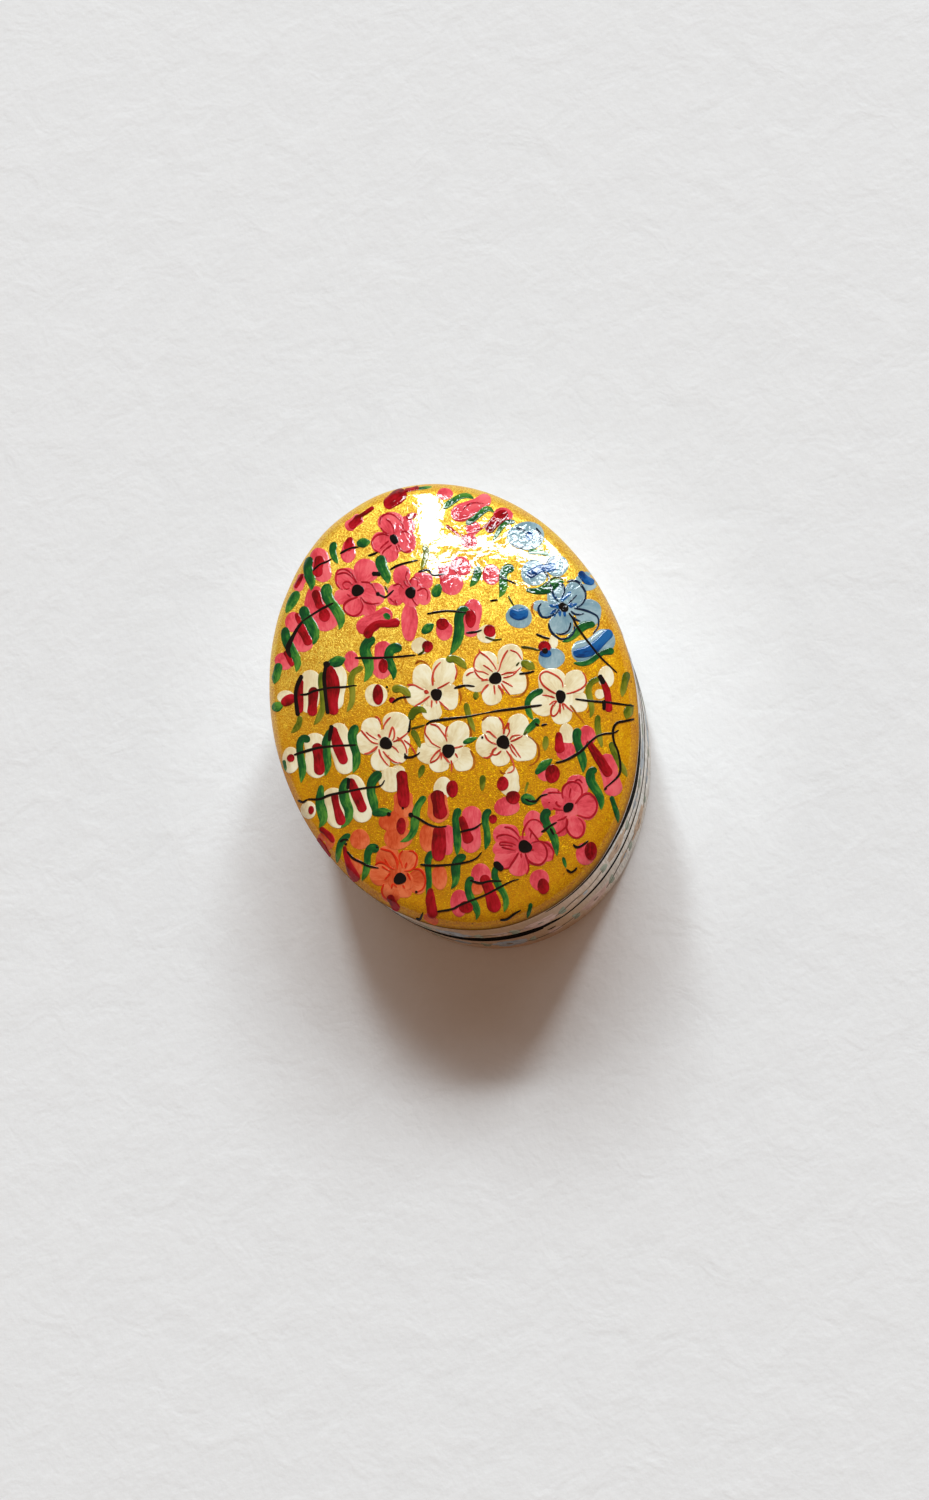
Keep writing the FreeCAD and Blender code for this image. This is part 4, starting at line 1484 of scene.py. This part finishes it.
def border_flower(petals, hearts, arc, height):
    """A small flower of rounded dabs round a dark heart."""
    start = hand.uniform(0, 2 * math.pi)
    for number in range(border_petals):
        turn = start + 2 * math.pi * number / border_petals
        reach = hand.uniform(1.75, 2.15)
        size = hand.uniform(1.25, 1.6)
        petals.round(size, (arc + reach * math.cos(turn), height + reach * math.sin(turn)), wobble=0.12)
    petals.round(1.6, (arc, height))
    hearts.round(hand.uniform(0.5, 0.65), (arc, height), wobble=0.15)


def border_leaves(moss, arc, height):
    """An upright leaf on either side of a flower."""
    for side in (-1, 1):
        foot = (arc + side * hand.uniform(4.2, 4.8), height - hand.uniform(2.2, 3.2))
        knee = (foot[0] - side * 0.8, height - 0.2)
        tip = (foot[0] + side * 0.3, height + hand.uniform(2.0, 3.0))
        moss.leaf(hand.uniform(0.55, 0.75), foot, knee, tip)


def border_bud(outside, core, stems, arc, height):
    """A two-coloured bud halfway to the next flower, and the stem that runs through it."""
    x = arc + border_spacing / 2 + hand.uniform(-0.5, 0.5)
    y = height + hand.uniform(-1.5, 1.5)
    outside.round((hand.uniform(1.2, 1.5), hand.uniform(1.7, 2.1)), (x, y))
    core.round((0.6, 1.1), (x + 0.3, y - 0.6))
    sag = hand.uniform(-1.0, 1.0)
    route = [(arc + 2.6, height - 1.2), (x - 2, y + sag), (x + 1.5, y + 0.4), (x + 5.2, height + 0.6)]
    stems.stroke(stem_radii, *route, tips=(3, 4))


def paint_border(body, materials, lines):
    """Muted flowers, buds, leaves and stems round the side of one body, and its black lines."""
    coats = {}
    for name, material in materials.items():
        level = border_line_level if name in ("ink", "umber") else border_level
        piece = f"{body}_{name}_border"
        coats[name] = Paint(piece, side_canvas, body, "silver_lacquer", material, level, border_rise)
    kinds = [coats[name] for name in ("slate", "rose", "rust")]
    for number in range(border_flowers):
        arc = border_spacing * (number + border_starts[body]) + hand.uniform(-0.8, 0.8)
        height = border_heights[body] + hand.uniform(-0.7, 0.7)
        border_flower(kinds[number % 3], coats["umber"], arc, height)
        border_leaves(coats["moss"], arc, height)
        border_bud(kinds[(number + 1) % 3], kinds[(number + 2) % 3], coats["umber"], arc, height)
    side_lines(coats["ink"], lines)
    for made in coats.values():
        made.make()


def paint_sides():
    """The muted floral border and the black lines on the lid's and the base's sides."""
    materials = {}
    for name, colours in border_colours.items():
        tones = [shade(*colour) for colour in colours]
        finish = (ink_lacquer, 0.0) if name == "ink" else (side_lacquer, border_metal)
        materials[name] = paint("border_" + name, *tones, *finish)
    paint_border("lid", materials, rim_lines + seam_lines)
    paint_border("base", materials, base_edge_lines)


# Light and floor


def make_window(name, panes_deg, distance, level, mirrored):
    """Panes given as azimuth and height ranges, which together light a level surface to this level."""
    panes = []
    for azimuth_low, azimuth_high, height_low, height_high in panes_deg:
        azimuth = math.radians(azimuth_low + azimuth_high) / 2
        height = math.radians(height_low + height_high) / 2
        width = 2 * math.tan(math.radians(azimuth_high - azimuth_low) / 2) * math.cos(height)
        tall = 2 * math.tan(math.radians(height_high - height_low) / 2)
        panes.append((azimuth, height, width, tall))
    reach = sum(width * tall * math.sin(height) for _, height, width, tall in panes)
    radiance = level * math.pi / reach
    for number, (azimuth, height, width, tall) in enumerate(panes):
        data = bpy.data.lights.new(f"{name}_{number}", "AREA")
        data.shape = "RECTANGLE"
        data.size = width * distance
        data.size_y = tall * distance
        data.energy = radiance * math.pi * data.size * data.size_y
        data.color = window_light
        lamp = bpy.data.objects.new(data.name, data)
        bpy.context.scene.collection.objects.link(lamp)
        towards = np.array([
            math.sin(azimuth) * math.cos(height), math.cos(azimuth) * math.cos(height), math.sin(height)
        ])
        right = unit(np.cross((0, 0, 1), towards))
        turn = np.eye(4)
        turn[:3, :3] = np.array([right, np.cross(towards, right), towards]).T
        turn[:3, 3] = np.array([0, 0, wall_top]) + towards * distance
        lamp.matrix_world = Matrix(turn.tolist())
        lamp.visible_camera = False
        lamp.visible_glossy = mirrored


def make_lights():
    """The window, the paler wall round it and the room."""
    make_window("window", window_panes_deg, window_distance, window_share, True)
    make_window("window_glow", window_glow_deg, glow_distance, 1 - window_share, False)
    world = bpy.data.worlds.new("room")
    bpy.context.scene.world = world
    world.use_nodes = True
    tree = world.node_tree
    background = tree.nodes["Background"]
    seen = tree.nodes.new("ShaderNodeLightPath")
    colour = tree.nodes.new("ShaderNodeMix")
    colour.data_type = "RGBA"
    colour.inputs[6].default_value = room_light + (1.0,)
    colour.inputs[7].default_value = shade(*wall_shade)
    tree.links.new(seen.outputs["Is Camera Ray"], colour.inputs[0])
    tree.links.new(colour.outputs[2], background.inputs["Color"])


def make_floor():
    """The pale paper that the box stands on."""
    half = floor_width / 2
    corners = [(-half, -half, 0), (half, -half, 0), (half, half, 0), (-half, half, 0)]
    mesh = bpy.data.meshes.new("floor")
    mesh.from_pydata(corners, [], [(0, 1, 2, 3)])
    mesh.materials.append(paper_floor())
    floor = bpy.data.objects.new("floor", mesh)
    bpy.context.scene.collection.objects.link(floor)


def dress_solids():
    """Materials for the solids that stay in sight."""
    finishes = {
        card(): ["base_floor", "lid_dome"],
        black_card(): ["base_wall", "base_collar", "base_floor_lining", "lid_wall", "lid_ceiling_lining"],
        black_lacquer(): ["base_underside_coat"],
    }
    for material, names in finishes.items():
        for name in names:
            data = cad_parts[name].data
            data.materials.clear()
            data.materials.append(material)


def main():
    bpy.context.scene.view_settings.view_transform = "Standard"
    make_camera()
    make_lights()
    make_floor()
    dress_solids()
    make_gilding(gold_leaf())
    make_sides(silver())
    paint_sides()
    paint_dome()


main()
